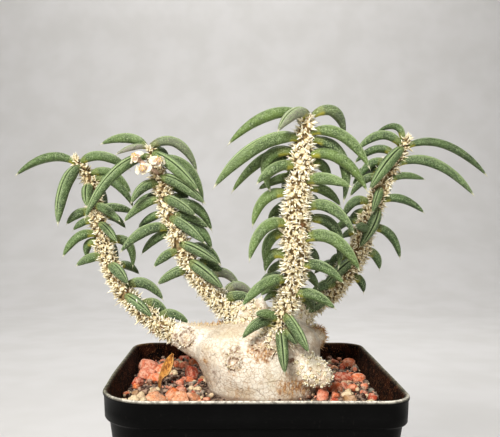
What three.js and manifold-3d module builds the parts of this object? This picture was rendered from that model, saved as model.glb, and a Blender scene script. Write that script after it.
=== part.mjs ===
// A potted euphorbia cylindrifolia: a square nursery pot of black plastic, filled with dark potting
// mix under a dressing of lava grit, and in it a swollen pale trunk (the caudex) that carries four
// bristly stems with grooved, arching leaves. Millimetres, +Z up, origin under the middle of the pot.
// The front of the plant looks toward -Y.
import * as THREE from "three";
import { mergeVertices } from "three/addons/utils/BufferGeometryUtils.js";
import Module from "manifold-3d";

const wasm = await Module();
wasm.setup();

// Driving dimensions of the pot
const POT_SIDE = 90;
const POT_HEIGHT = 80;
const POT_CORNERS = [9, 9, 16, 9];
const POT_FOOT_SIDE = 66;
const POT_COLLAR_HEIGHT = 8;
const POT_COLLAR_STEP = 2;
const POT_WALL = 1.2;
const POT_FLOOR = 1.8;
const POT_LIP = 0.8;
const POT_FOOT_BEVEL = 1;
const DRAIN_HOLE = 8;
const DRAIN_OFFSET = 20;

// Driving dimensions of the filling
const GAP = 0.35;
const SOIL_TOP = 68.5;
const FILLING_TIGHTNESS = 3.6;
const DRESSING_TOP = 73.2;
const DRESSING_SLOPE = 1.2;
const DRESSING_SHARES = [1, 0.86, 0.7, 0.52, 0.3];
const DRESSING_BUMP = 0.6;
const DRESSING_EDGE_SAG = 1;
const STONE_COUNT = 30;
const STONE_SIZE = [3.6, 7.4];
const STONE_RISE = 0.4;
const STONE_FROM_WALL = 4.5;
const STONE_FROM_TRUNK = 21;
const STONE_FROM_STONE = 6;

// The larger stones to each side of the trunk: middle x, y, rise above the bed, length, width,
// height, turn
const FRONT_STONES = [
  [-37, 24, 0.8, 8, 7, 6, 0.2],
  [-31.5, 20, 0.6, 7, 6, 5.5, 2.5],
  [-36.5, 13, 0.6, 8, 6.5, 5, 1.1],
  [-33, 7, 0.5, 6, 5.5, 4.5, 0.7],
  [-20.5, 13, 0.8, 6.5, 5, 6.5, 1.9],
  [-25, -13, 0.8, 4.8, 4.4, 4.4, 0.5],
  [-26, -21, 1.2, 14.5, 6.5, 6, 0.05],
  [-36.5, -23, 1.2, 5, 4, 4, 2.1],
  [37, 29, 0.4, 5.4, 4.4, 4.4, 0.4],
  [34.5, 9, 0.4, 11.5, 5, 4.4, 3.1],
  [23, -4, 0.6, 6, 5, 5, 2.6],
  [28, -5.5, 0.5, 5.5, 5, 4.6, 0.8],
  [22.5, -13, 0.5, 5, 4.6, 4.6, 2.2],
  [30, -21.5, 1, 5, 4, 4, 0.3],
];

// The trunk's cross-sections: height, middle x, middle y, half width, half depth
const CAUDEX_ROWS = [
  [36, 5, 0, 4, 4],
  [50, 5, 0, 9, 9],
  [62, 5, -1, 14, 13.6],
  [70, 4.6, -1.1, 17, 16.2],
  [74.5, 4, -1.2, 18.5, 16.8],
  [79, 2.7, -1.1, 19.4, 17],
  [84, 1.6, -1, 20.9, 17],
  [88.5, 2, -1, 21, 16.4],
  [92, 3, 0, 18.6, 14.6],
  [94.6, 4, 1, 13.6, 11],
  [96, 5, 2, 7.6, 6.4],
];
const CAUDEX_SIDES = 22;
const CAUDEX_ROUND_UP_TO = 73;
const CAUDEX_LOBED_FROM = 79;
const CAUDEX_LOBE_RISE = 0.032;
const CAUDEX_FOLD_RISE = 0.02;
const CAUDEX_END_RISE = 1;
const KNOB_SIDES = 12;

// The trunk's knobs and collars: from, to, radius at each end
const CAUDEX_KNOBS = {
  collar_left: [[-10, -1, 86], [-22, 0, 90.5], 7.6, 4.8],
  collar_mid_left: [[8, 0, 90], [0, -1, 97.5], 8, 5],
  collar_front: [[6, -6, 84], [9.5, -13.5, 93.5], 8.6, 5.2],
  collar_right: [[12, 4, 88], [17.5, 6, 96.2], 7.8, 4.6],
  stub_behind: [[17, 6, 85], [23, 8.2, 89], 5.4, 4],
  nub: [[5, -3, 94], [3.6, -3.6, 102.4], 3, 1.5],
  scar_ring: [[-4.6, -14, 84.4], [-6.3, -18.3, 85.3], 4, 2.6],
};

// The bristly side shoot low on the right: x, y, z, radius
const SIDE_SHOOT = [
  [12, -7, 82.4, 5],
  [16.4, -10, 81.4, 6],
  [20.2, -12.6, 80.5, 5.8],
  [23, -14.4, 79.6, 4.2],
];
const SIDE_SHOOT_SEED = 71;

// Stems: rows of x, y, z and radius with bristles, from the root to the tip.
// Leaves: station along the stem, azimuth round it (0 right, 90 toward -Y, 180 left, 270 toward +Y),
// the tip's x, y, z, the rise of the arch, and the thickness against an average leaf.
const BRANCHES = {
  branch_left: {
    rows: [
      [-18, -1, 89, 4.6],
      [-25, 0, 91, 4.4],
      [-31, 1, 94, 4.2],
      [-37, 2, 99, 4.0],
      [-43, 4, 104, 3.9],
      [-47, 5, 111, 3.8],
      [-50, 6, 118, 3.8],
      [-52, 7, 126, 3.8],
      [-54, 8, 133, 3.7],
      [-55, 8, 141, 3.4],
      [-58, 8, 147, 2.8],
      [-61, 8, 151, 1.8],
    ],
    leaves: [
      [80, 180, -81, 6, 145, 3.5, 1],
      [79, 20, -42, 8, 147, 3, 1.05],
      [78, 120, -64, -4, 128, 2.5, 1.25],
      [74, 0, -42, 11, 139, 3, 0.95],
      [72, 350, -41, 10, 134, 3, 0.95],
      [70, 110, -55, 0, 134, 1.5, 1.1],
      [61, 160, -63, 4, 128, 1.5, 0.95],
      [58, 150, -61, 5, 126, 1, 0.8],
      [63, 60, -44, 0, 129, 1, 0.95],
      [61, 340, -41, 12, 132, 1.5, 0.95],
      [53, 165, -64, 3, 117, 2.5, 1],
      [50, 190, -57, 9, 116, 2.5, 0.95],
      [45, 150, -59, 1, 114, 1, 0.95],
      [56, 70, -45, 0, 122, 1, 0.85],
      [50, 0, -41, 9, 113, 4, 1],
      [41, 80, -41, -2, 108, 1.5, 1.1],
      [32, 0, -30, 5, 102, 3, 1.05],
      [29, 80, -33, -2, 97, 1, 1],
      [23, 10, -28, 3, 96, 2, 1],
      [16, 0, -21, 3, 94, 2, 0.95],
    ],
    back: { first: 30, step: 9.5, length: 17, turn: 295, spread: 18 },
  },
  branch_mid_left: {
    rows: [
      [4, 0, 96, 5.0],
      [-2, 0, 97, 4.8],
      [-8, 0, 100, 4.6],
      [-13, 0, 105, 4.3],
      [-18, 0, 111, 4.1],
      [-22, -1, 118, 4.0],
      [-25, -2, 125, 3.9],
      [-28, -2, 134, 3.8],
      [-30, -3, 142, 3.6],
      [-32, -3, 149, 3.0],
      [-34, -3, 154, 1.9],
    ],
    leaves: [
      [74, 180, -50, -2, 155, 2.5, 1],
      [74, 140, -44, -8, 151, 1, 0.6],
      [74, 0, -18, 0, 146, 4.5, 1],
      [72, 300, -28, 6, 151, 1.5, 0.9],
      [69, 340, -16, -1, 135, 4.5, 1.1],
      [71, 60, -17, -10, 139, 1.5, 1.15],
      [63, 60, -15, -8, 135, 1.5, 1.1],
      [71, 150, -54, -9, 130, 3.5, 1.05],
      [60, 330, -21, 3, 137, 1, 0.8],
      [61, 130, -39, -9, 135, 2, 0.95],
      [56, 160, -42, -4, 129, 1.5, 0.9],
      [57, 220, -40, 4, 134, 1, 0.95],
      [51, 200, -38, 2, 127, 1, 0.9],
      [56, 80, -18, -9, 131, 1, 1],
      [53, 350, -13, -1, 126, 3.5, 1.1],
      [50, 20, -14, -4, 127, 1, 0.9],
      [49, 80, -15, -8, 122, 1, 1],
      [44, 350, -13, -1, 120, 3, 1.1],
      [46, 165, -43, -5, 119, 2.5, 1.1],
      [44, 200, -37, 3, 118, 1.5, 0.9],
      [38, 160, -32, -4, 114, 1, 0.95],
      [31, 160, -31, -2, 108, 1, 1],
      [40, 80, -10, -7, 115, 1, 1],
      [37, 350, -10, 1, 114, 2.5, 1],
      [33, 80, -9, -7, 107, 1, 1.15],
      [31, 340, -9, 4, 110, 2, 1],
      [24, 320, -3, 5, 105, 4, 1],
      [15, 320, 2, 5, 103, 4, 1],
      [15, 40, 1, -1, 103, 1.5, 1],
    ],
    back: { first: 26, step: 9.5, length: 17, turn: 295, spread: 18 },
  },
  branch_front: {
    rows: [
      [8, -10, 89, 4.6],
      [9, -14, 95, 4.6],
      [10, -18, 101, 4.6],
      [12, -21, 108, 4.5],
      [13, -24, 115, 4.7],
      [13, -27, 122, 5.0],
      [13, -30, 129, 5.0],
      [13, -33, 136, 4.8],
      [14, -36, 143, 4.5],
      [14, -38, 150, 4.0],
      [15, -40, 156, 3.2],
      [16, -41, 160, 1.9],
    ],
    leaves: [
      [77, 180, -7, -41, 151, 3.5, 1],
      [78, 140, 6.5, -46.6, 154, 2, 0.95],
      [78, 0, 26, -38, 154, 3.5, 1],
      [73, 10, 32, -44, 144, 3.5, 1],
      [71, 350, 26, -36, 135, 5, 1],
      [66, 10, 32, -40, 138, 3.5, 1.05],
      [63, 330, 23, -31, 142, 2, 0.95],
      [59, 40, 27, -43, 139, 1.5, 1],
      [56, 340, 26, -30, 134, 2, 0.95],
      [50, 20, 29, -36, 126, 3.5, 1],
      [46, 340, 26, -26, 115, 5.5, 1],
      [40, 30, 31, -34, 115, 4.5, 1.15],
      [35, 320, 21, -19, 117, 1.5, 0.9],
      [31, 30, 27, -30, 111, 2.5, 1],
      [28, 320, 21, -16, 108, 1.5, 0.9],
      [22, 40, 25, -26, 103, 2, 1],
      [20, 330, 20, -15, 101, 1.5, 1],
      [15, 80, 17, -27, 90, 1, 1],
      [9, 90, 10, -24, 83, 1, 1.05],
      [9, 60, 14, -20, 91, 1, 1],
      [12, 140, 1, -24, 101, 1, 1],
      [9, 150, -3, -21, 93, 3, 1],
      [26, 160, -3, -28, 104, 2.5, 1.05],
      [20, 200, 4, -15, 104, 1, 0.8],
      [24, 200, 3, -17, 106, 1, 0.85],
      [34, 180, 4, -24, 114, 3, 1],
      [31, 210, 5, -18, 113, 1, 0.85],
      [45, 165, -1, -34, 118, 4, 1.05],
      [42, 190, 4, -25, 116, 3, 1],
      [54, 180, 0, -32, 128, 3.5, 1],
      [51, 220, 5, -23, 130, 1, 0.8],
      [50, 240, 7, -20, 130, 1, 0.8],
      [63, 160, 1, -40, 140, 2, 0.95],
      [71, 170, -11, -41, 139, 3.5, 1.15],
      [67, 200, -6, -30, 138, 3, 0.95],
      [67, 190, 5, -35, 138, 5, 1.1],
      [67, 230, 6, -29, 146, 1, 0.85],
      [61, 230, 9, -27, 139, 1, 0.85],
      [59, 210, 2, -27, 139, 1, 0.85],
    ],
    back: { first: 22, step: 9.5, length: 18, turn: 270, spread: 36 },
  },
  branch_right: {
    rows: [
      [16, 6, 94.4, 4.4],
      [21, 7, 99.6, 4.4],
      [28, 8, 104, 4.4],
      [33, 8, 110, 4.4],
      [38, 9, 117, 4.3],
      [40, 9, 125, 4.2],
      [43, 10, 132, 4.1],
      [46, 10, 140, 3.9],
      [49, 10, 147, 3.7],
      [53, 10, 153, 3.2],
      [56, 10, 158, 2.0],
    ],
    leaves: [
      [75, 0, 84, 11, 145, 4.5, 0.95],
      [68, 10, 78, 7, 138, 4.5, 1.05],
      [61, 350, 63, 15, 144, 1.5, 0.8],
      [53, 0, 62, 12, 132, 2.5, 0.95],
      [43, 0, 53, 10, 116, 3, 1],
      [34, 350, 46, 11, 112, 2, 1],
      [24, 0, 40, 9, 104, 2, 1],
      [75, 200, 46, 16, 161, 4, 0.75],
      [74, 170, 38, 12, 154, 4, 1],
      [70, 200, 38, 15, 150, 3, 0.95],
      [66, 180, 39, 13, 144, 2.5, 0.95],
      [73, 110, 41, 3, 140, 1.5, 1.2],
      [61, 190, 36, 13, 138, 2, 0.9],
      [64, 220, 37, 18, 145, 1.5, 0.85],
      [51, 170, 33, 10, 130, 3, 1],
      [48, 200, 36, 16, 129, 1, 0.9],
      [57, 100, 42, 3, 132, 1, 0.85],
      [50, 50, 38, 6, 120, 2.5, 1.1],
      [41, 90, 35, -4, 127, 1, 0.95],
      [40, 190, 33, 13, 123, 1, 0.9],
      [28, 180, 28, 10, 114, 2, 0.95],
      [30, 110, 25, 4, 106, 1, 1.1],
      [19, 120, 21, 5, 104, 1.5, 1],
      [14, 70, 18, 4, 97, 1, 1.05],
    ],
    back: { first: 24, step: 9.5, length: 17, turn: 250, spread: 20 },
  },
};

// The stems' bristly surface
const STEM_SIDES = 7;
const BRISTLE_ROW = 3.6;
const BRISTLE_SINK = 1.1;
const BRISTLE_RISE = [0.2, 1.2];
const BRISTLE_LEAN = [-0.5, 0.9];
const STEM_CORE_LEAST = 0.8;
const STEM_TIP_RISE = 1.2;
const STEM_SEED = 11;

// The leaves' form: half thickness in the middle, and its share along the leaf
const LEAF_HALF = 1.85;
const LEAF_STATIONS = [0, 0.28, 0.6, 0.86];
const LEAF_WIDTHS = [0.6, 1, 0.92, 0.55];
const LEAF_ROOT_DEPTH = 0.42;
const LEAF_ARCH_EARLY = 1.8;
const LEAF_ARCH_LATE = 1.3;
const LEAF_OUT = 0.6;
const LEAF_LIFT = 0.5;
const LEAF_BEND_EARLY = 0.22;
const LEAF_BEND_LATE = 0.68;
const LEAF_SECTION = [
  [0.6, -0.85],
  [0.95, 0.5],
  [0, 0.2],
  [-0.95, 0.5],
  [-0.6, -0.85],
];

// The leaves on the far side: where they end, and their reach, drop and arch against their length
const BACK_END = 5;
const BACK_REACH = 0.78;
const BACK_DROP = 0.42;
const BACK_ARCH = 0.19;
const BACK_FATNESS = 0.95;

// The flower heads at the tip of the second stem: middle, direction of the cup, bract length
const BLOOM_STALK = [[-31, -5, 145.5], [-33.6, -8.4, 147]];
const HEAD_SIDES = 6;
const STALK_RADIUS = 0.95;
const CUP_RADIUS = 1.5;
const CUP_HEIGHT = 2.8;
const BRACT_THICKNESS = 0.7;
const BLOOM_HEADS = [
  [[-37, -8.6, 149.6], [-0.6, -0.6, 0.5], 3.2],
  [[-34.6, -10.6, 146], [-0.2, -0.9, 0.1], 3.2],
  [[-30.4, -9.6, 148.4], [0.4, -0.8, 0.4], 3.2],
];

// The dead leaf's spine from its foot: x, y, z and half width; its edges curl up from the midrib
const DRY_LEAF_ROWS = [
  [-30.6, -1.5, 73, 0.8],
  [-30.2, -0.4, 76, 1.2],
  [-29.2, 1, 78.8, 2.4],
  [-27.8, 2.4, 81.6, 2.2],
  [-26.4, 3, 83.8, 0.8],
];
const DRY_LEAF_ACROSS = [0.95, -0.25, 0.1];
const DRY_LEAF_CURL = 0.7;
const DRY_LEAF_THICKNESS = 0.84;

// A repeatable random number from 0 to 1
function seededRandom(seed) {
  let state = seed >>> 0;
  return () => {
    state = (state + 0x6d2b79f5) >>> 0;
    let mixed = Math.imul(state ^ (state >>> 15), 1 | state);
    mixed = (mixed + Math.imul(mixed ^ (mixed >>> 7), 61 | mixed)) ^ mixed;
    return ((mixed ^ (mixed >>> 14)) >>> 0) / 4294967296;
  };
}

function mix(from, to, share) {
  return from + (to - from) * share;
}

// A closed solid from a geometry, with its shared vertices merged
function solidFrom(geometry) {
  const bare = geometry.clone();
  bare.deleteAttribute("normal");
  bare.deleteAttribute("uv");
  const merged = mergeVertices(bare, 1e-4);
  const mesh = new wasm.Mesh({
    numProp: 3,
    vertProperties: new Float32Array(merged.attributes.position.array),
    triVerts: new Uint32Array(merged.index.array),
  });
  return new wasm.Manifold(mesh);
}

// A geometry from a solid, for a mesh
function geometryFrom(solid) {
  const mesh = solid.getMesh();
  const geometry = new THREE.BufferGeometry();
  geometry.setAttribute("position", new THREE.BufferAttribute(mesh.vertProperties, 3));
  geometry.setIndex(new THREE.BufferAttribute(mesh.triVerts, 1));
  geometry.computeVertexNormals();
  return geometry;
}

// A closed geometry from points and triangles
function geometryOf(points, triangles) {
  const geometry = new THREE.BufferGeometry().setFromPoints(points);
  geometry.setIndex(triangles.flat());
  return geometry;
}

// A closed skin through rings of points, with an end point before the first and after the last ring.
// Seen from the last ring back to the first, the points of a ring run anticlockwise.
function loft(rings, startPoint, endPoint) {
  const sides = rings[0].length;
  const points = [...rings.flat(), startPoint, endPoint];
  const start = rings.length * sides;
  const triangles = [];
  for (let side = 0; side < sides; side += 1) {
    const next = (side + 1) % sides;
    triangles.push([start, next, side]);
    const last = (rings.length - 1) * sides;
    triangles.push([start + 1, last + side, last + next]);
    for (let row = 0; row < rings.length - 1; row += 1) {
      const here = row * sides;
      const above = here + sides;
      triangles.push([here + side, here + next, above + next]);
      triangles.push([here + side, above + next, above + side]);
    }
  }
  return geometryOf(points, triangles);
}

function middleOf(points) {
  const sum = points.reduce((total, point) => total.add(point), new THREE.Vector3());
  return sum.divideScalar(points.length);
}

function joined(solids) {
  return solids.reduce((whole, piece) => whole.add(piece));
}

// The largest body of a solid: scraps are dropped, and sealed hollows are filled
function largestBody(solid) {
  const bodies = solid.decompose();
  return bodies.reduce((best, body) => (body.volume() > best.volume() ? body : best));
}

// A square with round corners, as a ring of points that runs anticlockwise seen from above.
// The corners are tighter than the rim's by the given amount.
function squareRing(side, tighter, z) {
  const perCorner = 3;
  const ring = [];
  for (let quarter = 0; quarter < 4; quarter += 1) {
    const corner = POT_CORNERS[quarter] - tighter;
    const middle = side / 2 - corner;
    const cornerAngle = (quarter * Math.PI) / 2 + Math.PI / 4;
    const centreX = Math.SQRT2 * middle * Math.cos(cornerAngle);
    const centreY = Math.SQRT2 * middle * Math.sin(cornerAngle);
    for (let step = 0; step <= perCorner; step += 1) {
      const angle = (quarter + step / perCorner) * (Math.PI / 2);
      ring.push(new THREE.Vector3(
        centreX + corner * Math.cos(angle), centreY + corner * Math.sin(angle), z));
    }
  }
  return ring;
}

// The pot's outer side at a height: it tapers to the foot, and steps out under the collar
function potSideAt(z) {
  const bodyTop = POT_SIDE - 2 * POT_COLLAR_STEP;
  return mix(POT_FOOT_SIDE, bodyTop, z / (POT_HEIGHT - POT_COLLAR_HEIGHT));
}

function potInnerSideAt(z) {
  return potSideAt(Math.min(z, POT_HEIGHT - POT_COLLAR_HEIGHT)) - 2 * POT_WALL;
}

function drainHoles() {
  const spots = [[1, 1], [-1, 1], [-1, -1], [1, -1]];
  return spots.map(([signX, signY]) => {
    const hole = new THREE.CylinderGeometry(DRAIN_HOLE / 2, DRAIN_HOLE / 2, 3 * POT_FLOOR, 12);
    hole.rotateX(Math.PI / 2);
    hole.translate(signX * DRAIN_OFFSET, signY * DRAIN_OFFSET, POT_FLOOR / 2);
    return solidFrom(hole);
  });
}

function potSolid() {
  const collarFoot = POT_HEIGHT - POT_COLLAR_HEIGHT;
  const lipFoot = POT_HEIGHT - POT_LIP;
  const bevel = POT_FOOT_BEVEL;
  const outerTightness = POT_COLLAR_STEP;
  const innerTightness = POT_COLLAR_STEP + POT_WALL;
  const outside = [
    squareRing(POT_FOOT_SIDE - 2 * bevel, outerTightness + bevel, 0),
    squareRing(potSideAt(bevel), outerTightness, bevel),
    squareRing(potSideAt(collarFoot), outerTightness, collarFoot),
    squareRing(POT_SIDE - 1.2, 0.6, collarFoot + 0.6),
    squareRing(POT_SIDE - 0.6, 0.3, lipFoot - POT_LIP),
  ];
  const lip = [
    squareRing(POT_SIDE, 0, lipFoot),
    squareRing(POT_SIDE - POT_LIP, POT_LIP / 2, POT_HEIGHT),
    squareRing(POT_SIDE - 3 * POT_LIP, 1.5 * POT_LIP, POT_HEIGHT),
    squareRing(POT_SIDE - 4 * POT_LIP, 2 * POT_LIP, lipFoot),
  ];
  const inside = [
    squareRing(potInnerSideAt(collarFoot) + POT_WALL, 2.6, collarFoot + POT_WALL),
    squareRing(potInnerSideAt(collarFoot), innerTightness, collarFoot - POT_WALL / 2),
    squareRing(potInnerSideAt(POT_FLOOR + bevel), innerTightness, POT_FLOOR + bevel),
    squareRing(potInnerSideAt(POT_FLOOR) - 2 * bevel, innerTightness + bevel, POT_FLOOR),
  ];
  const rings = [...outside, ...lip, ...inside];
  const skin = loft(rings, new THREE.Vector3(0, 0, 0), new THREE.Vector3(0, 0, POT_FLOOR));
  return drainHoles().reduce((pot, hole) => pot.subtract(hole), solidFrom(skin));
}

// A tapered rod with its far edge bevelled, and with its radii and its ends grown by one amount
function rod([from, to, fromRadius, toRadius], sides, grow) {
  const start = new THREE.Vector3(...from);
  const end = new THREE.Vector3(...to);
  const axis = end.clone().sub(start);
  const length = axis.length() + 2 * grow;
  const bevel = 0.3 * (toRadius + grow);
  const profile = [
    [0, -length / 2],
    [fromRadius + grow, -length / 2],
    [toRadius + grow, length / 2 - bevel],
    [toRadius + grow - bevel, length / 2],
    [0, length / 2],
  ];
  const skin = new THREE.LatheGeometry(profile.map(([x, y]) => new THREE.Vector2(x, y)), sides);
  const turn = new THREE.Quaternion().setFromUnitVectors(
    new THREE.Vector3(0, 1, 0), axis.clone().normalize());
  const middle = start.clone().add(end).multiplyScalar(0.5);
  skin.applyMatrix4(new THREE.Matrix4().compose(middle, turn, new THREE.Vector3(1, 1, 1)));
  return solidFrom(skin);
}

// The low swellings of the trunk's skin, three broad and seven narrow, none below the dressing
function caudexSwelling(angle, z) {
  const fade = THREE.MathUtils.smoothstep(z, CAUDEX_ROUND_UP_TO, CAUDEX_LOBED_FROM);
  const lobes = CAUDEX_LOBE_RISE * Math.sin(3 * angle + 0.09 * z);
  const folds = CAUDEX_FOLD_RISE * Math.sin(7 * angle - 0.21 * z);
  return 1 + fade * (lobes + folds);
}

function caudexBody(grow) {
  const lastRow = CAUDEX_ROWS.length - 1;
  const rings = CAUDEX_ROWS.map(([z, middleX, middleY, halfWidth, halfDepth], row) => {
    const raised = (row === lastRow ? grow : 0) - (row === 0 ? grow : 0);
    return Array.from({ length: CAUDEX_SIDES }, (_, side) => {
      const angle = (2 * Math.PI * side) / CAUDEX_SIDES;
      const swelling = caudexSwelling(angle, z);
      return new THREE.Vector3(
        middleX + (halfWidth * swelling + grow) * Math.cos(angle),
        middleY + (halfDepth * swelling + grow) * Math.sin(angle),
        z + raised,
      );
    });
  });
  const foot = middleOf(rings[0]);
  const crown = middleOf(rings[lastRow]);
  foot.z -= CAUDEX_END_RISE;
  crown.z += CAUDEX_END_RISE;
  return solidFrom(loft(rings, foot, crown));
}

// The whole trunk, or the space that its neighbours leave free for it when it is grown
function caudexSolid(grow) {
  const knobs = Object.values(CAUDEX_KNOBS).map((knob) => rod(knob, KNOB_SIDES, grow));
  const shoot = bristlyTube(stemCurve(SIDE_SHOOT), SIDE_SHOOT_SEED, grow);
  return largestBody(joined([caudexBody(grow), ...knobs, shoot]));
}

// A stem's smooth centreline, its length, and its radius by station
function stemCurve(rows) {
  const points = rows.map(([x, y, z]) => new THREE.Vector3(x, y, z));
  const curve = new THREE.CatmullRomCurve3(points, false, "centripetal");
  const radii = new THREE.CatmullRomCurve3(
    rows.map((row, index) => new THREE.Vector3(index, row[3], 0)), false, "centripetal");
  curve.arcLengthDivisions = 400;
  const length = curve.getLength();
  return { curve, radii, length };
}

// The stem's axis at a station: its point, radius, direction, right side and front side
function stemFrame(stem, station) {
  const share = THREE.MathUtils.clamp(station / stem.length, 0, 1);
  const point = stem.curve.getPointAt(share);
  const along = stem.curve.getTangentAt(share);
  const radius = stem.radii.getPoint(stem.curve.getUtoTmapping(share)).y;
  const front = new THREE.Vector3(0, -1, 0);
  front.addScaledVector(along, -front.dot(along)).normalize();
  const right = new THREE.Vector3().crossVectors(along, front);
  return { point, radius, along, right, front };
}

function outward(frame, angle) {
  return frame.right.clone().multiplyScalar(Math.cos(angle))
    .addScaledVector(frame.front, Math.sin(angle));
}

function coreRadius(frame) {
  return Math.max(frame.radius - BRISTLE_SINK, STEM_CORE_LEAST);
}

// A tube whose every cell rises to a bristle's point, in rows that wind round the stem
function bristlyTube(stem, seed, grow) {
  const random = seededRandom(seed);
  const rowCount = Math.max(3, Math.round(stem.length / BRISTLE_ROW));
  const rings = [];
  const points = [];
  const triangles = [];
  const cell = (2 * Math.PI) / STEM_SIDES;
  for (let row = 0; row <= rowCount; row += 1) {
    const frame = stemFrame(stem, (stem.length * row) / rowCount);
    const ring = [];
    for (let side = 0; side < STEM_SIDES; side += 1) {
      const angle = -cell * (side + 0.5 * row);
      const reach = coreRadius(frame) + grow;
      ring.push(points.length);
      points.push(frame.point.clone().addScaledVector(outward(frame, angle), reach));
    }
    rings.push(ring);
  }
  for (let row = 0; row < rowCount; row += 1) {
    const frame = stemFrame(stem, (stem.length * (row + 0.5)) / rowCount);
    for (let side = 0; side < STEM_SIDES; side += 1) {
      const next = (side + 1) % STEM_SIDES;
      const angle = -cell * (side + 0.5 * row + 0.75);
      const rise = mix(...BRISTLE_RISE, random());
      const tip = points.length;
      const reach = coreRadius(frame) + rise + grow;
      points.push(frame.point.clone()
        .addScaledVector(outward(frame, angle), reach)
        .addScaledVector(frame.along, mix(...BRISTLE_LEAN, random())));
      const [a, b] = [rings[row][side], rings[row][next]];
      const [c, d] = [rings[row + 1][next], rings[row + 1][side]];
      triangles.push([a, b, tip], [b, c, tip], [c, d, tip], [d, a, tip]);
    }
  }
  const rootFrame = stemFrame(stem, 0);
  const tipFrame = stemFrame(stem, stem.length);
  const root = points.length;
  points.push(rootFrame.point.clone().addScaledVector(rootFrame.along, -grow));
  points.push(tipFrame.point.clone().addScaledVector(tipFrame.along, STEM_TIP_RISE + grow));
  for (let side = 0; side < STEM_SIDES; side += 1) {
    const next = (side + 1) % STEM_SIDES;
    triangles.push([root, rings[0][next], rings[0][side]]);
    triangles.push([root + 1, rings[rowCount][side], rings[rowCount][next]]);
  }
  return solidFrom(geometryOf(points, triangles));
}

// One arched blade from inside the stem to its tip, thick, and grooved along its upper face
function leafSolid(stem, [station, azimuth, tipX, tipY, tipZ, arch, fatness], grow) {
  const frame = stemFrame(stem, station);
  const radial = outward(frame, THREE.MathUtils.degToRad(azimuth));
  const base = frame.point.clone().addScaledVector(radial, frame.radius * LEAF_ROOT_DEPTH);
  const tip = new THREE.Vector3(tipX, tipY, tipZ);
  const chord = tip.clone().sub(base);
  const line = chord.clone().normalize();
  const upper = new THREE.Vector3(0, 0, LEAF_LIFT);
  upper.addScaledVector(radial, LEAF_OUT).addScaledVector(frame.along, LEAF_LIFT);
  upper.addScaledVector(line, -upper.dot(line)).normalize();
  const early = base.clone().addScaledVector(chord, LEAF_BEND_EARLY);
  early.addScaledVector(upper, LEAF_ARCH_EARLY * arch);
  const late = base.clone().addScaledVector(chord, LEAF_BEND_LATE);
  late.addScaledVector(upper, LEAF_ARCH_LATE * arch);
  const bend = new THREE.CubicBezierCurve3(base, early, late, tip);
  const rings = LEAF_STATIONS.map((share, index) => {
    const point = bend.getPoint(share);
    const along = bend.getTangent(share);
    const up = upper.clone().addScaledVector(along, -upper.dot(along)).normalize();
    const across = new THREE.Vector3().crossVectors(along, up);
    const half = LEAF_HALF * fatness * LEAF_WIDTHS[index] + grow;
    return LEAF_SECTION.map(([sideways, upward]) => point.clone()
      .addScaledVector(across, -half * sideways)
      .addScaledVector(up, half * upward));
  });
  const end = tip.clone().addScaledVector(bend.getTangent(1), grow);
  return solidFrom(loft(rings, middleOf(rings[0]), end));
}

// The leaves on the far side of a stem, spread to the left and to the right in turn
function backLeaves(stem, { first, step, length, turn, spread }) {
  const leaves = [];
  for (let station = first; station < stem.length - BACK_END; station += step) {
    const azimuth = turn + (leaves.length % 2 ? spread : -spread);
    const frame = stemFrame(stem, station);
    const radial = outward(frame, THREE.MathUtils.degToRad(azimuth));
    const size = length * (0.8 + 0.2 * Math.sin(3.1 * leaves.length + 1));
    const tip = frame.point.clone().addScaledVector(radial, frame.radius + BACK_REACH * size);
    tip.z -= BACK_DROP * size;
    leaves.push([station, azimuth, tip.x, tip.y, tip.z, BACK_ARCH * size, BACK_FATNESS]);
  }
  return leaves;
}

function branchSolid({ rows, leaves, back }, seed, grow) {
  const stem = stemCurve(rows);
  const blades = [...leaves, ...backLeaves(stem, back)].map((leaf) => leafSolid(stem, leaf, grow));
  return joined([bristlyTube(stem, seed, grow), ...blades]);
}

// The side of what fills the pot at a height, clear of the pot's wall
function fillingSideAt(z) {
  return potInnerSideAt(z) - 2 * GAP;
}

// The dark mix, up to the foot of the dressing
function soilSolid(caudexSpace) {
  const foothold = POT_FLOOR + GAP;
  const shoulder = foothold + POT_FOOT_BEVEL;
  const rings = [
    squareRing(fillingSideAt(POT_FLOOR) - 3 * POT_FOOT_BEVEL, FILLING_TIGHTNESS + 1, foothold),
    squareRing(fillingSideAt(POT_FLOOR), FILLING_TIGHTNESS, shoulder),
    squareRing(fillingSideAt(SOIL_TOP), FILLING_TIGHTNESS, SOIL_TOP),
  ];
  const foot = new THREE.Vector3(0, 0, foothold);
  const top = new THREE.Vector3(0, 0, SOIL_TOP);
  return solidFrom(loft(rings, foot, top)).subtract(caudexSpace);
}

// One rough stone: a faceted ball, pulled to its three sizes, with its corners moved a little
function stoneSolid(middle, sizes, turn, random) {
  const ball = new THREE.IcosahedronGeometry(0.5, 0);
  ball.deleteAttribute("normal");
  ball.deleteAttribute("uv");
  const skin = mergeVertices(ball, 1e-4);
  const corners = skin.attributes.position;
  for (let index = 0; index < corners.count; index += 1) {
    const swell = mix(0.82, 1.12, random());
    corners.setXYZ(
      index, corners.getX(index) * swell, corners.getY(index) * swell, corners.getZ(index) * swell);
  }
  skin.scale(...sizes);
  skin.rotateZ(turn);
  skin.translate(...middle);
  return solidFrom(skin);
}

// The dressing lies higher toward the back
function dressingHeightAt(y) {
  return DRESSING_TOP + (DRESSING_SLOPE * y) / (POT_SIDE / 2);
}

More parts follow.
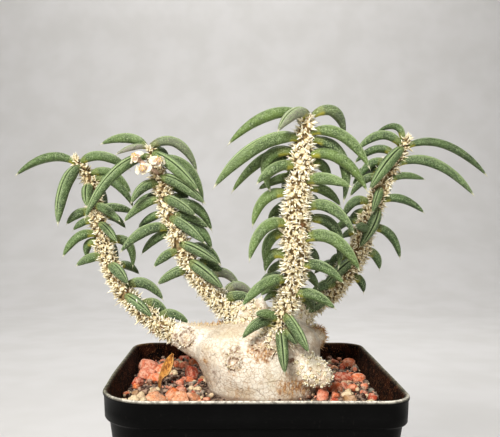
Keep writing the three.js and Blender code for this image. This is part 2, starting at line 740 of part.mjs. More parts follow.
// The bed of lava grit: a bumpy slab with a hole for the trunk, and stones sunk into it
function dressingSolid(caudexSpace, dryLeafSpace) {
  const random = seededRandom(8);
  const side = fillingSideAt(DRESSING_TOP);
  const edge = squareRing(side, FILLING_TIGHTNESS, 0);
  const [, middleX, middleY] = CAUDEX_ROWS[3];
  const middle = new THREE.Vector3(middleX, middleY, DRESSING_TOP);
  const rings = [squareRing(fillingSideAt(SOIL_TOP), FILLING_TIGHTNESS, SOIL_TOP + GAP)];
  for (const share of DRESSING_SHARES) {
    rings.push(edge.map((point) => {
      const place = middle.clone().lerp(point, share);
      const bump = mix(-DRESSING_BUMP, DRESSING_BUMP, random());
      const sag = share === 1 ? DRESSING_EDGE_SAG : 0;
      return place.setZ(dressingHeightAt(place.y) + bump - sag);
    }));
  }
  const foot = middle.clone().setZ(SOIL_TOP + GAP);
  const stones = FRONT_STONES.map(([x, y, rise, length, width, height, turn]) =>
    stoneSolid([x, y, dressingHeightAt(y) + rise], [length, width, height], turn, random));
  const reach = side / 2 - STONE_FROM_WALL;
  while (stones.length < STONE_COUNT) {
    const x = mix(-reach, reach, random());
    const y = mix(-reach, reach, random());
    const size = mix(...STONE_SIZE, random() * random());
    const nearTrunk = Math.hypot(x - middleX, y - middleY) < STONE_FROM_TRUNK;
    const crowded = FRONT_STONES.some(([stoneX, stoneY]) =>
      Math.hypot(x - stoneX, y - stoneY) < STONE_FROM_STONE);
    if (!nearTrunk && !crowded) {
      const sizes = [size, size * mix(0.7, 0.95, random()), size * mix(0.6, 0.9, random())];
      const place = [x, y, dressingHeightAt(y) + STONE_RISE];
      stones.push(stoneSolid(place, sizes, Math.PI * random(), random));
    }
  }
  const bed = joined([solidFrom(loft(rings, foot, middle)), ...stones]);
  return largestBody(bed.subtract(caudexSpace).subtract(dryLeafSpace));
}

// A dead leaf, dry and curled, that stands with its foot in the grit
function dryLeafSolid(grow) {
  const rows = DRY_LEAF_ROWS.map(([x, y, z]) => new THREE.Vector3(x, y, z));
  const spine = new THREE.CatmullRomCurve3(rows);
  const halfThickness = DRY_LEAF_THICKNESS / 2 + grow;
  const rings = DRY_LEAF_ROWS.map(([, , , halfWidth], index) => {
    const share = index / (DRY_LEAF_ROWS.length - 1);
    const point = spine.getPoint(share);
    const along = spine.getTangent(share);
    const across = new THREE.Vector3(...DRY_LEAF_ACROSS);
    across.addScaledVector(along, -across.dot(along)).normalize();
    const normal = new THREE.Vector3().crossVectors(along, across);
    const corner = (sideways, lift, side) => point.clone()
      .addScaledVector(across, sideways * (halfWidth + grow))
      .addScaledVector(normal, lift + side * halfThickness);
    const curl = DRY_LEAF_CURL;
    return [
      corner(-1, curl, -1), corner(0, 0, -1), corner(1, curl, -1),
      corner(1, curl, 1), corner(0, 0, 1), corner(-1, curl, 1),
    ];
  });
  return solidFrom(loft(rings, middleOf(rings[0]), middleOf(rings.at(-1))));
}

// One flower head: a small cup between two round bracts
function flowerHead([middle, direction, bractLength]) {
  const place = new THREE.Vector3(...middle);
  const facing = new THREE.Vector3(...direction).normalize();
  const cupFoot = place.clone().addScaledVector(facing, -CUP_HEIGHT / 2).toArray();
  const cupMouth = place.clone().addScaledVector(facing, CUP_HEIGHT / 2).toArray();
  const cup = rod([cupFoot, cupMouth, STALK_RADIUS, CUP_RADIUS], HEAD_SIDES, 0);
  const across = new THREE.Vector3(1, 0, 0.2);
  across.addScaledVector(facing, -across.dot(facing)).normalize();
  const bracts = [-1, 1].map((sign) => {
    const radius = bractLength / 2;
    const bract = new THREE.CylinderGeometry(radius, 0.8 * radius, BRACT_THICKNESS, HEAD_SIDES);
    const lean = across.clone().multiplyScalar(sign).sub(facing).normalize();
    const turn = new THREE.Quaternion().setFromUnitVectors(new THREE.Vector3(0, 1, 0), lean);
    const centre = place.clone().addScaledVector(across, sign * (CUP_RADIUS + 0.2));
    centre.addScaledVector(facing, CUP_HEIGHT / 3);
    bract.applyMatrix4(new THREE.Matrix4().compose(centre, turn, new THREE.Vector3(1, 1, 1)));
    return solidFrom(bract);
  });
  return joined([cup, ...bracts]);
}

function bloomSolid(branchSpace) {
  const [stalkFrom, stalkTo] = BLOOM_STALK;
  const thick = STALK_RADIUS;
  const mainStalk = rod([stalkFrom, stalkTo, thick, thick], HEAD_SIDES, 0);
  const stalks = BLOOM_HEADS.map(([middle]) => rod([stalkTo, middle, thick, thick], HEAD_SIDES, 0));
  const whole = joined([mainStalk, ...stalks, ...BLOOM_HEADS.map(flowerHead)]);
  return largestBody(whole.subtract(branchSpace));
}

const MATERIALS = {
  pot: { color: 0x1c1a18, roughness: 0.5, metalness: 0 },
  soil: { color: 0x2a1f17, roughness: 1, metalness: 0 },
  lava: { color: 0xa9694f, roughness: 0.95, metalness: 0 },
  dryLeaf: { color: 0x9a6b2e, roughness: 0.8, metalness: 0 },
  bark: { color: 0xe0d3b4, roughness: 0.85, metalness: 0 },
  leaf: { color: 0x5b7d45, roughness: 0.6, metalness: 0 },
  bloom: { color: 0xe8dcc0, roughness: 0.7, metalness: 0 },
};

function subpart(name, solid, look) {
  const mesh = new THREE.Mesh(
    geometryFrom(solid), new THREE.MeshStandardMaterial(MATERIALS[look]));
  mesh.name = name;
  return mesh;
}

const group = new THREE.Group();
const caudexSpace = caudexSolid(GAP);
group.add(subpart("pot", potSolid(), "pot"));
group.add(subpart("soil", soilSolid(caudexSpace), "soil"));
group.add(subpart("top_dressing", dressingSolid(caudexSpace, dryLeafSolid(GAP)), "lava"));
group.add(subpart("dry_leaf", dryLeafSolid(0), "dryLeaf"));
group.add(subpart("caudex", caudexSolid(0), "bark"));
Object.entries(BRANCHES).forEach(([name, branch], index) => {
  const solid = branchSolid(branch, STEM_SEED + index, 0).subtract(caudexSpace);
  group.add(subpart(name, largestBody(solid), "leaf"));
});
const bloomStemSpace = branchSolid(BRANCHES.branch_mid_left, STEM_SEED + 1, GAP);
group.add(subpart("bloom", bloomSolid(bloomStemSpace), "bloom"));

export default group;
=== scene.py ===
"""The looks of the potted euphorbia cylindrifolia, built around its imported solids.

The tables are in millimetres, and every mesh is made in metres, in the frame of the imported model.
"""

import math

import bmesh
import bpy
import numpy as np
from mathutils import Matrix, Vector, noise


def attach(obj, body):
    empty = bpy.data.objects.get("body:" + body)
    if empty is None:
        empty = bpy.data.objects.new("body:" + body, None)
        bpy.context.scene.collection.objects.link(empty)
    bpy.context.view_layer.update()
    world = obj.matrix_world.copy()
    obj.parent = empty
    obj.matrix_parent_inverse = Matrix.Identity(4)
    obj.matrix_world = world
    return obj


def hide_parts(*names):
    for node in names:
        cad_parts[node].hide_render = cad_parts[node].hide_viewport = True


MM = 0.001
FRONT = np.array([0.0, -1.0, 0.0])
UP = np.array([0.0, 0.0, 1.0])
GOLDEN_TURN = math.radians(137.508)

# The photograph's frame, perspective centre and focal length in pixels, and its viewpoint in
# millimetres
PHOTO_WIDTH = 500
PHOTO_HEIGHT = 437
PHOTO_CENTRE = [234.5, 215]
PHOTO_FOCAL = 705
CAMERA = [-5.3, -238.4, 131.2]

# Studio floor in metres: its half width, where its bend starts, the bend's radius, and its top
FLOOR_HALF = 1.6
FLOOR_REAR = 0.7
FLOOR_BEND = 0.5
FLOOR_TOP = 1.8

# Pot and filling, as in the solids; the corners start at the back right and run anticlockwise
POT_SIDE = 90
POT_HEIGHT = 80
POT_CORNERS = [9, 9, 16, 9]
POT_FOOT_SIDE = 66
POT_COLLAR_HEIGHT = 8
POT_COLLAR_STEP = 2
POT_WALL = 1.2
POT_FLOOR = 1.8
POT_LIP = 0.8
POT_FOOT_BEVEL = 1
QUARTER_SIGNS = [[1, 1], [-1, 1], [-1, -1], [1, -1]]
DRAIN_HOLE = 8
DRAIN_OFFSET = 20
GAP = 0.35
SOIL_TOP = 68.5
FILLING_TIGHTNESS = 3.6
DRESSING_TOP = 73.2
DRESSING_SLOPE = 1.2

# Leaves, as in the solids
LEAF_HALF = 1.85
LEAF_ROOT_DEPTH = 0.42
LEAF_ARCH_EARLY = 1.8
LEAF_ARCH_LATE = 1.3
LEAF_OUT = 0.6
LEAF_LIFT = 0.5
LEAF_BEND_EARLY = 0.22
LEAF_BEND_LATE = 0.68
BACK_END = 5
BACK_REACH = 0.78
BACK_DROP = 0.42
BACK_ARCH = 0.19
BACK_FATNESS = 0.95

# A leaf's rings by its length, the fewest and the most, and the most that a leaf turns round its
# line at its foot and twists further by its tip
LEAF_RINGS_PER_MM = 1.15
LEAF_RINGS = [16, 34]
LEAF_TURN = 0.28
LEAF_TWIST = 0.3

# Half thickness of a leaf along it, against its thickest place
LEAF_PROFILE = [
    [0, 0.52],
    [0.06, 0.64],
    [0.14, 0.86],
    [0.26, 1.0],
    [0.45, 1.02],
    [0.6, 0.95],
    [0.74, 0.78],
    [0.86, 0.54],
    [0.94, 0.31],
    [0.985, 0.13],
    [1, 0.05],
]

# Right half of a leaf's section from the bottom of the groove to the keel: sideways and upward with
# the groove, sideways and upward without it, and how much the point belongs to the lip and the slit
LEAF_HALF_SECTION = [
    [0, 0.16, 0, 0.8, 0, 1],
    [0.05, 0.34, 0.08, 0.8, 0, 1],
    [0.1, 0.54, 0.16, 0.78, 0.4, 0.4],
    [0.18, 0.67, 0.27, 0.76, 1, 0],
    [0.3, 0.7, 0.42, 0.71, 0.45, 0],
    [0.53, 0.61, 0.58, 0.62, 0.1, 0],
    [0.74, 0.42, 0.76, 0.45, 0, 0],
    [0.88, 0.19, 0.88, 0.22, 0, 0],
    [0.96, -0.07, 0.95, -0.05, 0, 0],
    [0.95, -0.34, 0.94, -0.34, 0, 0],
    [0.85, -0.6, 0.84, -0.6, 0, 0],
    [0.66, -0.8, 0.65, -0.8, 0, 0],
    [0.36, -0.94, 0.36, -0.94, 0, 0],
    [0, -0.98, 0, -0.98, 0, 0],
]

# Bristles: how deep the stem's skin lies under them, how far apart the tufts are, how many points a
# tuft and a stem's tip have, what share of the tufts shows a scar, and how far the tufts keep from
# the leaves' feet
BRISTLE_DEPTH = 1.75
TUFT_SPACING = 2.3
TUFT_POINTS = 7
TIP_POINTS = 30
SCARRED_SHARE = 0.4
LEAF_CLEARANCE = 1.25

# A papery point's half width along it, its thickness against its width, and how far it bends
SPIKE_PROFILE = [
    [0, 0.8],
    [0.3, 1.0],
    [0.68, 0.6],
]
SPIKE_FLATNESS = 0.36
SPIKE_BEND = 0.4

# A cushion from its foot: distance from the middle, height, paleness and scar share; the paleness
# rises from the foot, partly the cushion's own browner base and partly painted shade at the stem
CUSHION_PROFILE = [
    [1.0, -0.3, 0.1, 0],
    [0.92, 0.3, 0.4, 0],
    [0.66, 0.6, 0.72, 0],
    [0.34, 0.66, 0.76, 0.6],
]
CUSHION_MIDDLE = 0.52

# Warmth of the green at the foot and at the tip of each branch, partly the leaves' own colour and
# partly painted light and shade (darker low down and on the right branch, lighter and yellower on the
# front branch), the paleness of its bristles there, how far up they start and how far short of the tip
# they end, and how far its leaves turn their grooves to the front
BRANCH_LOOKS = {
    "branch_left": {
        "warm": [0.15, 0.5], "pale": [0.85, 0.55], "bare": 4, "crown": 0, "facing": 0.3,
    },
    "branch_mid_left": {
        "warm": [0.1, 0.55], "pale": [1.0, 0.6], "bare": 0.5, "crown": 0.8, "facing": 0.35,
    },
    "branch_front": {
        "warm": [0.4, 0.85], "pale": [0.8, 0.95], "bare": 1, "crown": 1.8, "facing": 0.08,
    },
    "branch_right": {
        "warm": [0.1, 0.35], "pale": [0.6, 0.6], "bare": 1, "crown": 0, "facing": 0.2,
    },
}

# Leaves that turn their grooves to the front more or less than the rest: branch, place in its list
LEAF_TURNS = {
    ("branch_left", 1): 0.5,
    ("branch_left", 2): 1.5,
    ("branch_left", 5): 0.1,
    ("branch_mid_left", 5): 0.8,
    ("branch_mid_left", 6): 0.6,
    ("branch_mid_left", 7): 0.9,
}

# Young leaves with a grey-lilac skin: branch, place in its list, amount
YOUNG_LEAVES = {
    ("branch_mid_left", 1): 1.0,
    ("branch_mid_left", 2): 0.4,
    ("branch_front", 1): 0.6,
    ("branch_front", 2): 0.15,
    ("branch_mid_left", 26): 0.7,
    ("branch_mid_left", 27): 0.8,
}

# Stems: rows of x, y, z and radius with bristles, from the root to the tip.
# Leaves: station along the stem, azimuth round it (0 right, 90 toward -Y, 180 left, 270 toward +Y),
# the tip's x, y, z, the rise of the arch, and the thickness against an average leaf.
BRANCHES = {
    "branch_left": {
        "rows": [
            [-18, -1, 89, 4.6], [-25, 0, 91, 4.4], [-31, 1, 94, 4.2], [-37, 2, 99, 4],
            [-43, 4, 104, 3.9], [-47, 5, 111, 3.8], [-50, 6, 118, 3.8], [-52, 7, 126, 3.8],
            [-54, 8, 133, 3.7], [-55, 8, 141, 3.4], [-58, 8, 147, 2.8], [-61, 8, 151, 1.8],
        ],
        "leaves": [
            [80, 180, -81, 6, 145, 3.5, 1], [79, 20, -42, 8, 147, 3, 1.05],
            [78, 120, -64, -4, 128, 2.5, 1.25], [74, 0, -42, 11, 139, 3, 0.95],
            [72, 350, -41, 10, 134, 3, 0.95], [70, 110, -55, 0, 134, 1.5, 1.1],
            [61, 160, -63, 4, 128, 1.5, 0.95], [58, 150, -61, 5, 126, 1, 0.8],
            [63, 60, -44, 0, 129, 1, 0.95], [61, 340, -41, 12, 132, 1.5, 0.95],
            [53, 165, -64, 3, 117, 2.5, 1], [50, 190, -57, 9, 116, 2.5, 0.95],
            [45, 150, -59, 1, 114, 1, 0.95], [56, 70, -45, 0, 122, 1, 0.85],
            [50, 0, -41, 9, 113, 4, 1], [41, 80, -41, -2, 108, 1.5, 1.1],
            [32, 0, -30, 5, 102, 3, 1.05], [29, 80, -33, -2, 97, 1, 1], [23, 10, -28, 3, 96, 2, 1],
            [16, 0, -21, 3, 94, 2, 0.95],
        ],
        "back": {"first": 30, "step": 9.5, "length": 17, "turn": 295, "spread": 18},
    },
    "branch_mid_left": {
        "rows": [
            [4, 0, 96, 5], [-2, 0, 97, 4.8], [-8, 0, 100, 4.6], [-13, 0, 105, 4.3],
            [-18, 0, 111, 4.1], [-22, -1, 118, 4], [-25, -2, 125, 3.9], [-28, -2, 134, 3.8],
            [-30, -3, 142, 3.6], [-32, -3, 149, 3], [-34, -3, 154, 1.9],
        ],
        "leaves": [
            [74, 180, -50, -2, 155, 2.5, 1], [74, 140, -44, -8, 151, 1, 0.6],
            [74, 0, -18, 0, 146, 4.5, 1], [72, 300, -28, 6, 151, 1.5, 0.9],
            [69, 340, -16, -1, 135, 4.5, 1.1], [71, 60, -17, -10, 139, 1.5, 1.15],
            [63, 60, -15, -8, 135, 1.5, 1.1], [71, 150, -54, -9, 130, 3.5, 1.05],
            [60, 330, -21, 3, 137, 1, 0.8], [61, 130, -39, -9, 135, 2, 0.95],
            [56, 160, -42, -4, 129, 1.5, 0.9], [57, 220, -40, 4, 134, 1, 0.95],
            [51, 200, -38, 2, 127, 1, 0.9], [56, 80, -18, -9, 131, 1, 1],
            [53, 350, -13, -1, 126, 3.5, 1.1], [50, 20, -14, -4, 127, 1, 0.9],
            [49, 80, -15, -8, 122, 1, 1], [44, 350, -13, -1, 120, 3, 1.1],
            [46, 165, -43, -5, 119, 2.5, 1.1], [44, 200, -37, 3, 118, 1.5, 0.9],
            [38, 160, -32, -4, 114, 1, 0.95], [31, 160, -31, -2, 108, 1, 1],
            [40, 80, -10, -7, 115, 1, 1], [37, 350, -10, 1, 114, 2.5, 1],
            [33, 80, -9, -7, 107, 1, 1.15], [31, 340, -9, 4, 110, 2, 1],
            [24, 320, -3, 5, 105, 4, 1], [15, 320, 2, 5, 103, 4, 1], [15, 40, 1, -1, 103, 1.5, 1],
        ],
        "back": {"first": 26, "step": 9.5, "length": 17, "turn": 295, "spread": 18},
    },
    "branch_front": {
        "rows": [
            [8, -10, 89, 4.6], [9, -14, 95, 4.6], [10, -18, 101, 4.6], [12, -21, 108, 4.5],
            [13, -24, 115, 4.7], [13, -27, 122, 5], [13, -30, 129, 5], [13, -33, 136, 4.8],
            [14, -36, 143, 4.5], [14, -38, 150, 4], [15, -40, 156, 3.2], [16, -41, 160, 1.9],
        ],
        "leaves": [
            [77, 180, -7, -41, 151, 3.5, 1], [78, 140, 6.5, -46.6, 154, 2, 0.95],
            [78, 0, 26, -38, 154, 3.5, 1], [73, 10, 32, -44, 144, 3.5, 1],
            [71, 350, 26, -36, 135, 5, 1], [66, 10, 32, -40, 138, 3.5, 1.05],
            [63, 330, 23, -31, 142, 2, 0.95], [59, 40, 27, -43, 139, 1.5, 1],
            [56, 340, 26, -30, 134, 2, 0.95], [50, 20, 29, -36, 126, 3.5, 1],
            [46, 340, 26, -26, 115, 5.5, 1], [40, 30, 31, -34, 115, 4.5, 1.15],
            [35, 320, 21, -19, 117, 1.5, 0.9], [31, 30, 27, -30, 111, 2.5, 1],
            [28, 320, 21, -16, 108, 1.5, 0.9], [22, 40, 25, -26, 103, 2, 1],
            [20, 330, 20, -15, 101, 1.5, 1], [15, 80, 17, -27, 90, 1, 1],
            [9, 90, 10, -24, 83, 1, 1.05], [9, 60, 14, -20, 91, 1, 1], [12, 140, 1, -24, 101, 1, 1],
            [9, 150, -3, -21, 93, 3, 1], [26, 160, -3, -28, 104, 2.5, 1.05],
            [20, 200, 4, -15, 104, 1, 0.8], [24, 200, 3, -17, 106, 1, 0.85],
            [34, 180, 4, -24, 114, 3, 1], [31, 210, 5, -18, 113, 1, 0.85],
            [45, 165, -1, -34, 118, 4, 1.05], [42, 190, 4, -25, 116, 3, 1],
            [54, 180, 0, -32, 128, 3.5, 1], [51, 220, 5, -23, 130, 1, 0.8],
            [50, 240, 7, -20, 130, 1, 0.8], [63, 160, 1, -40, 140, 2, 0.95],
            [71, 170, -11, -41, 139, 3.5, 1.15], [67, 200, -6, -30, 138, 3, 0.95],
            [67, 190, 5, -35, 138, 5, 1.1], [67, 230, 6, -29, 146, 1, 0.85],
            [61, 230, 9, -27, 139, 1, 0.85], [59, 210, 2, -27, 139, 1, 0.85],
        ],
        "back": {"first": 22, "step": 9.5, "length": 18, "turn": 270, "spread": 36},
    },
    "branch_right": {
        "rows": [
            [16, 6, 94.4, 4.4], [21, 7, 99.6, 4.4], [28, 8, 104, 4.4], [33, 8, 110, 4.4],
            [38, 9, 117, 4.3], [40, 9, 125, 4.2], [43, 10, 132, 4.1], [46, 10, 140, 3.9],
            [49, 10, 147, 3.7], [53, 10, 153, 3.2], [56, 10, 158, 2],
        ],
        "leaves": [
            [75, 0, 84, 11, 145, 4.5, 0.95], [68, 10, 78, 7, 138, 4.5, 1.05],
            [61, 350, 63, 15, 144, 1.5, 0.8], [53, 0, 62, 12, 132, 2.5, 0.95],
            [43, 0, 53, 10, 116, 3, 1], [34, 350, 46, 11, 112, 2, 1], [24, 0, 40, 9, 104, 2, 1],
            [75, 200, 46, 16, 161, 4, 0.75], [74, 170, 38, 12, 154, 4, 1],
            [70, 200, 38, 15, 150, 3, 0.95], [66, 180, 39, 13, 144, 2.5, 0.95],
            [73, 110, 41, 3, 140, 1.5, 1.2], [61, 190, 36, 13, 138, 2, 0.9],
            [64, 220, 37, 18, 145, 1.5, 0.85], [51, 170, 33, 10, 130, 3, 1],
            [48, 200, 36, 16, 129, 1, 0.9], [57, 100, 42, 3, 132, 1, 0.85],
            [50, 50, 38, 6, 120, 2.5, 1.1], [41, 90, 35, -4, 127, 1, 0.95],
            [40, 190, 33, 13, 123, 1, 0.9], [28, 180, 28, 10, 114, 2, 0.95],
            [30, 110, 25, 4, 106, 1, 1.1], [19, 120, 21, 5, 104, 1.5, 1],
            [14, 70, 18, 4, 97, 1, 1.05],
        ],
        "back": {"first": 24, "step": 9.5, "length": 17, "turn": 250, "spread": 20},
    },
}

# The trunk's cross-sections: height, middle x, middle y, half width, half depth
CAUDEX_ROWS = [
    [36, 5, 0, 4, 4],
    [50, 5, 0, 9, 9],
    [62, 5, -1, 14, 13.6],
    [70, 4.6, -1.1, 17, 16.2],
    [74.5, 4, -1.2, 18.5, 16.8],
    [79, 2.7, -1.1, 19.4, 17],
    [84, 1.6, -1, 20.9, 17],
    [88.5, 2, -1, 21, 16.4],
    [92, 3, 0, 18.6, 14.6],
    [94.6, 4, 1, 13.6, 11],
    [96, 5, 2, 7.6, 6.4],
]

# The trunk's knobs and collars: from, to, radius at each end
CAUDEX_KNOBS = {
    "collar_left": [[-10, -1, 86], [-23, 0, 90.6], 7.8, 4.7],
    "collar_mid_left": [[8, 0, 90], [-1, -0.6, 97.5], 8, 4.9],
    "collar_front": [[6, -6, 84], [9.5, -13.8, 93.8], 8.8, 5],
    "collar_right": [[12, 4, 88], [17.5, 6, 96.4], 7.8, 4.5],
    "stub_behind": [[17, 6, 85], [22.8, 8.2, 88.8], 5.4, 3.9],
    "nub": [[5, -3, 94], [3.4, -3.8, 102.2], 3.2, 1.7],
}

# The collars that carry tufts, and from what height along them
NECKS = {"collar_mid_left": 8.4, "collar_front": 10.4, "collar_right": 9}

# The trunk's fused skin: the size of its voxels, and how often it is smoothed
TRUNK_VOXEL = 0.55
TRUNK_SMOOTHINGS = 14

# The bristly side shoot low on the right: x, y, z, radius
SIDE_SHOOT = [
    [12, -7, 82.4, 4.6],
    [16.4, -10, 81.4, 5.2],
    [20.2, -12.6, 80.5, 5],
    [22.6, -14.2, 79.6, 3.6],
]

# The tufts' bounds on the side shoot: in place, by a sloping edge (x, z and slope) and against its
# radius, and how far from their middle lines they stand on the collars
SHOOT_LEFT = 13.5
SHOOT_REAR = -7
SHOOT_LOW = 74.5
SHOOT_HIGH = 88
SHOOT_EDGE = [15.5, 80, 0.55]
SHOOT_REACH = 1.14
NECK_REACH = 6.5

# Old scars on the trunk: x, y, z, radius, rise of the rim, depth of the middle
SCARS = [
    [-21.6, -5.6, 90.6, 2.5, 0.5, 0.5],
    [-6.1, -18.4, 85.6, 2.3, 0.9, 0.7],
    [-5.5, -17.4, 89.8, 1.5, 0.6, 0.4],
    [2.6, -16.5, 91.3, 2.2, 0.8, 0.8],
    [5.8, -18.4, 90.6, 1.7, 0.7, 0.6],
    [-9.5, -16.4, 88.5, 1.1, 0.3, 0.2],
    [-13, -13.5, 79.5, 1.4, 0.3, 0.2],
    [12, -13.4, 86, 1.5, 0.3, 0.4],
    [14, 12, 84, 2.2, 0.7, 0.6],
    [-6, 15, 86, 2.4, 0.8, 0.7],
    [-14, 9, 83, 1.8, 0.6, 0.5],
]

# Where a scar's dark lines lie, against its radius
SCAR_LINES = [1.3, 0.78]

# The trunk's lumps, folds and grain: size, size upward against it, seed, octaves, depth
TRUNK_RELIEF = [
    [8.5, 1, 3, 2, 0.4],
    [3.4, 0.5, 9, 3, 0.1],
    [0.9, 1, 5, 3, 0.07],
]

# Rusty patches on the trunk: x, y, z, radius, strength
RUST_PATCHES = [
    [-6.9, -18.3, 82.9, 1.5, 1.0],
    [-6.2, -18.3, 80, 1.6, 0.35],
    [-7.2, -18, 77, 1.8, 0.25],
    [0.6, -17.6, 88.6, 2.0, 0.9],
    [3.2, -18.2, 88.2, 2.6, 1.0],
    [5.8, -18.6, 88.6, 2.2, 0.9],
    [8.6, -18.2, 88.6, 1.5, 0.5],
    [-15.6, -12, 84.6, 1.6, 0.8],
    [-14.6, -12, 81.6, 1.2, 0.5],
    [10.2, -15.5, 76.6, 3.2, 0.8],
    [14.8, -13.4, 76.8, 2.8, 0.9],
    [18.6, -12.4, 75.8, 2.0, 0.5],
    [-16, 2, 92.6, 1.9, 0.9],
    [-13, 2.6, 93.4, 2.0, 1.0],
    [-9.8, 3, 94.0, 2.0, 0.9],
    [-6.8, 3.4, 94.4, 1.9, 0.9],
    [24.6, 7.6, 93, 2.2, 0.9],
    [26.4, 8.4, 90.4, 2.0, 1.0],
    [25.4, 8, 87, 2.0, 0.8],
    [-19.4, -3.6, 85.4, 1.8, 0.35],
    [15, 13, 83, 2.4, 0.6],
    [-6, 16, 84, 2.2, 0.7],
]

# Stones that the photograph shows: x, y, rise of the middle above the bed, length, width, height,
# turn, kind of stone
STONES = [
    [-37, 24, 0.8, 8, 7, 6, 0.2, "pink"],
    [-31.5, 20, 0.6, 7, 6, 5.5, 2.5, "salmon"],
    [-36.5, 13, 0.6, 8, 6.5, 5, 1.1, "pink"],
    [-33, 7, 0.5, 6, 5.5, 4.5, 0.7, "salmon"],
    [-38.6, 3, 0.5, 5, 4.2, 4, 1.4, "red"],
    [-39.4, 30, 0.4, 4.4, 4, 3.8, 2.2, "pink"],
    [-24.4, 27, 0.4, 4, 3.5, 3.5, 0.3, "pink"],
    [-27.6, 30, 0.3, 3.4, 3, 3, 1.9, "salmon"],
    [-20.5, 13, 0.8, 6.5, 5, 6.5, 1.9, "red"],
    [-24, 4, 0.3, 3.4, 2.8, 3, 0.9, "pink"],
    [-21, 7, 0.3, 3.2, 2.8, 2.6, 0.2, "salmon"],
    [-25, -13, 0.9, 4.9, 4.5, 4.6, 0.5, "orange"],
    [-29, -21.4, 1.3, 8.6, 6, 5.8, 0.1, "peach"],
    [-22, -20.6, 1.2, 8, 6, 5.6, 3.0, "peach"],
    [-36.5, -23, 1.4, 4.8, 4, 4.2, 2.1, "cream"],
    [-39.2, -25.5, 2.2, 3, 2.6, 3, 0.4, "cream"],
    [-33, -26, 2.4, 3.4, 3, 3, 1.4, "cream"],
    [-35, -15, 0.9, 3.6, 3, 3.8, 0.8, "cream"],
    [-31.5, -10.5, 0.7, 3.8, 3.2, 3.2, 2.7, "tan"],
    [-37.5, -9, 0.3, 3.2, 2.8, 2.8, 1.2, "tan"],
    [33.4, 33, 0.4, 3.6, 3, 3.2, 0.3, "pink"],
    [38, 29.6, 0.5, 5.2, 4.4, 4.6, 0.4, "salmon"],
    [35.2, 26, 0.2, 2.8, 2.4, 2.4, 1.2, "red"],
    [39.6, 23.6, 0.3, 2.8, 2.4, 2.4, 0.9, "slate"],
    [33.2, 10, 0.5, 7, 5, 4.4, 3.0, "red"],
    [38, 8.4, 0.4, 5.6, 4.6, 4, 0.2, "salmon"],
    [23, -4, 0.7, 6, 5, 5, 2.6, "salmon"],
    [28, -5, 0.6, 5.6, 5, 4.8, 0.8, "salmon"],
    [22.5, -13, 0.6, 5, 4.6, 4.6, 2.2, "pink"],
    [27, -12, 0.3, 3.4, 3, 3, 1.0, "salmon"],
    [30, -21.5, 1.3, 4.8, 3.8, 4, 0.3, "tan"],
    [35.4, -26.4, 2.2, 4.4, 3.2, 3, 0.1, "cream"],
    [31.6, -8, 0.4, 3, 2.6, 2.6, 1.9, "cream"],
    [25, -22, 1.0, 3.6, 3, 3.2, 0.6, "red"],
    [38.6, -14, 0.3, 3.4, 2.8, 2.8, 2.8, "red"],
]

# Colours of the stones and crumbs, in the order of their bands in the material's ramp
STONE_KINDS = {
    "pink": (214, 128, 98),
    "salmon": (222, 122, 78),
    "orange": (228, 124, 62),
    "red": (186, 80, 50),
    "peach": (234, 164, 122),
    "cream": (226, 208, 168),
    "tan": (176, 138, 98),
    "slate": (112, 122, 112),
    "brown": (92, 58, 38),
    "dark": (30, 20, 15),
}
LARGE_KINDS = ["pink", "salmon", "salmon", "orange", "red", "peach", "cream", "tan", "brown"]
# Most crumbs are near black: partly dark soil crumbs and partly painted shade in the gaps between the
# stones
CRUMB_KINDS = [
    "dark", "dark", "dark", "dark", "dark", "dark", "brown", "brown", "brown", "tan", "cream",
    "cream", "salmon", "pink", "red", "slate",
]
CORNER_KINDS = ["orange", "red", "brown", "tan", "dark"]
SCATTERED_STONES = 46
CRUMBS = 1500
CORNER_CRUMBS = 150
STONE_PLANES = 9

# The bed's middle and its number of rings, and the trunk's foot in it: middle and half widths
BED_MIDDLE = [4, -1]
BED_RINGS = 52
TRUNK_FOOT = [2.5, -1, 17.4, 15.8]

# The place before the trunk where no stones are scattered: left, right and rear, and the least
# margin of a stone that keeps out of it
CLEAR_PLACE = [-13, 21, -12]
CLEAR_MARGIN = 0.6

# The dead leaf's half thickness, its spine from its foot (x, y, z and half width), and the
# direction across it
DRY_LEAF_HALF = 0.16
DRY_LEAF_ROWS = [
    [-30.6, -1.5, 73, 0.5],
    [-30.4, -0.4, 76, 0.7],
    [-29, 1, 78.6, 2.1],
    [-27.8, 2.4, 81.4, 1.9],
    [-26.4, 3, 83.8, 0.3],
]
DRY_LEAF_ACROSS = np.array([0.95, -0.25, 0.1])

# The flower heads at the tip of the second stem: the rings of their bracts and the points in a
# ring, the stalk they share, and for each its middle, the direction of its cup and its bracts' length
BRACT_RINGS = 6
BRACT_SIDES = 20
BLOOM_STALK = [[-31, -5, 145.5], [-33.6, -8.4, 147]]
BLOOM_HEADS = [
    [[-37, -8.6, 149.6], [-0.6, -0.6, 0.5], 3.2],
    [[-34.6, -10.6, 146], [-0.2, -0.9, 0.1], 3.2],
    [[-30.4, -9.6, 148.4], [0.4, -0.8, 0.4], 3.2],
]


def unit(vectors):
    """The vectors at length one."""
    return vectors / np.maximum(np.linalg.norm(vectors, axis=-1, keepdims=True), 1e-9)


def smoothstep(value, low, high):
    share = np.clip((value - low) / (high - low), 0, 1)
    return share * share * (3 - 2 * share)


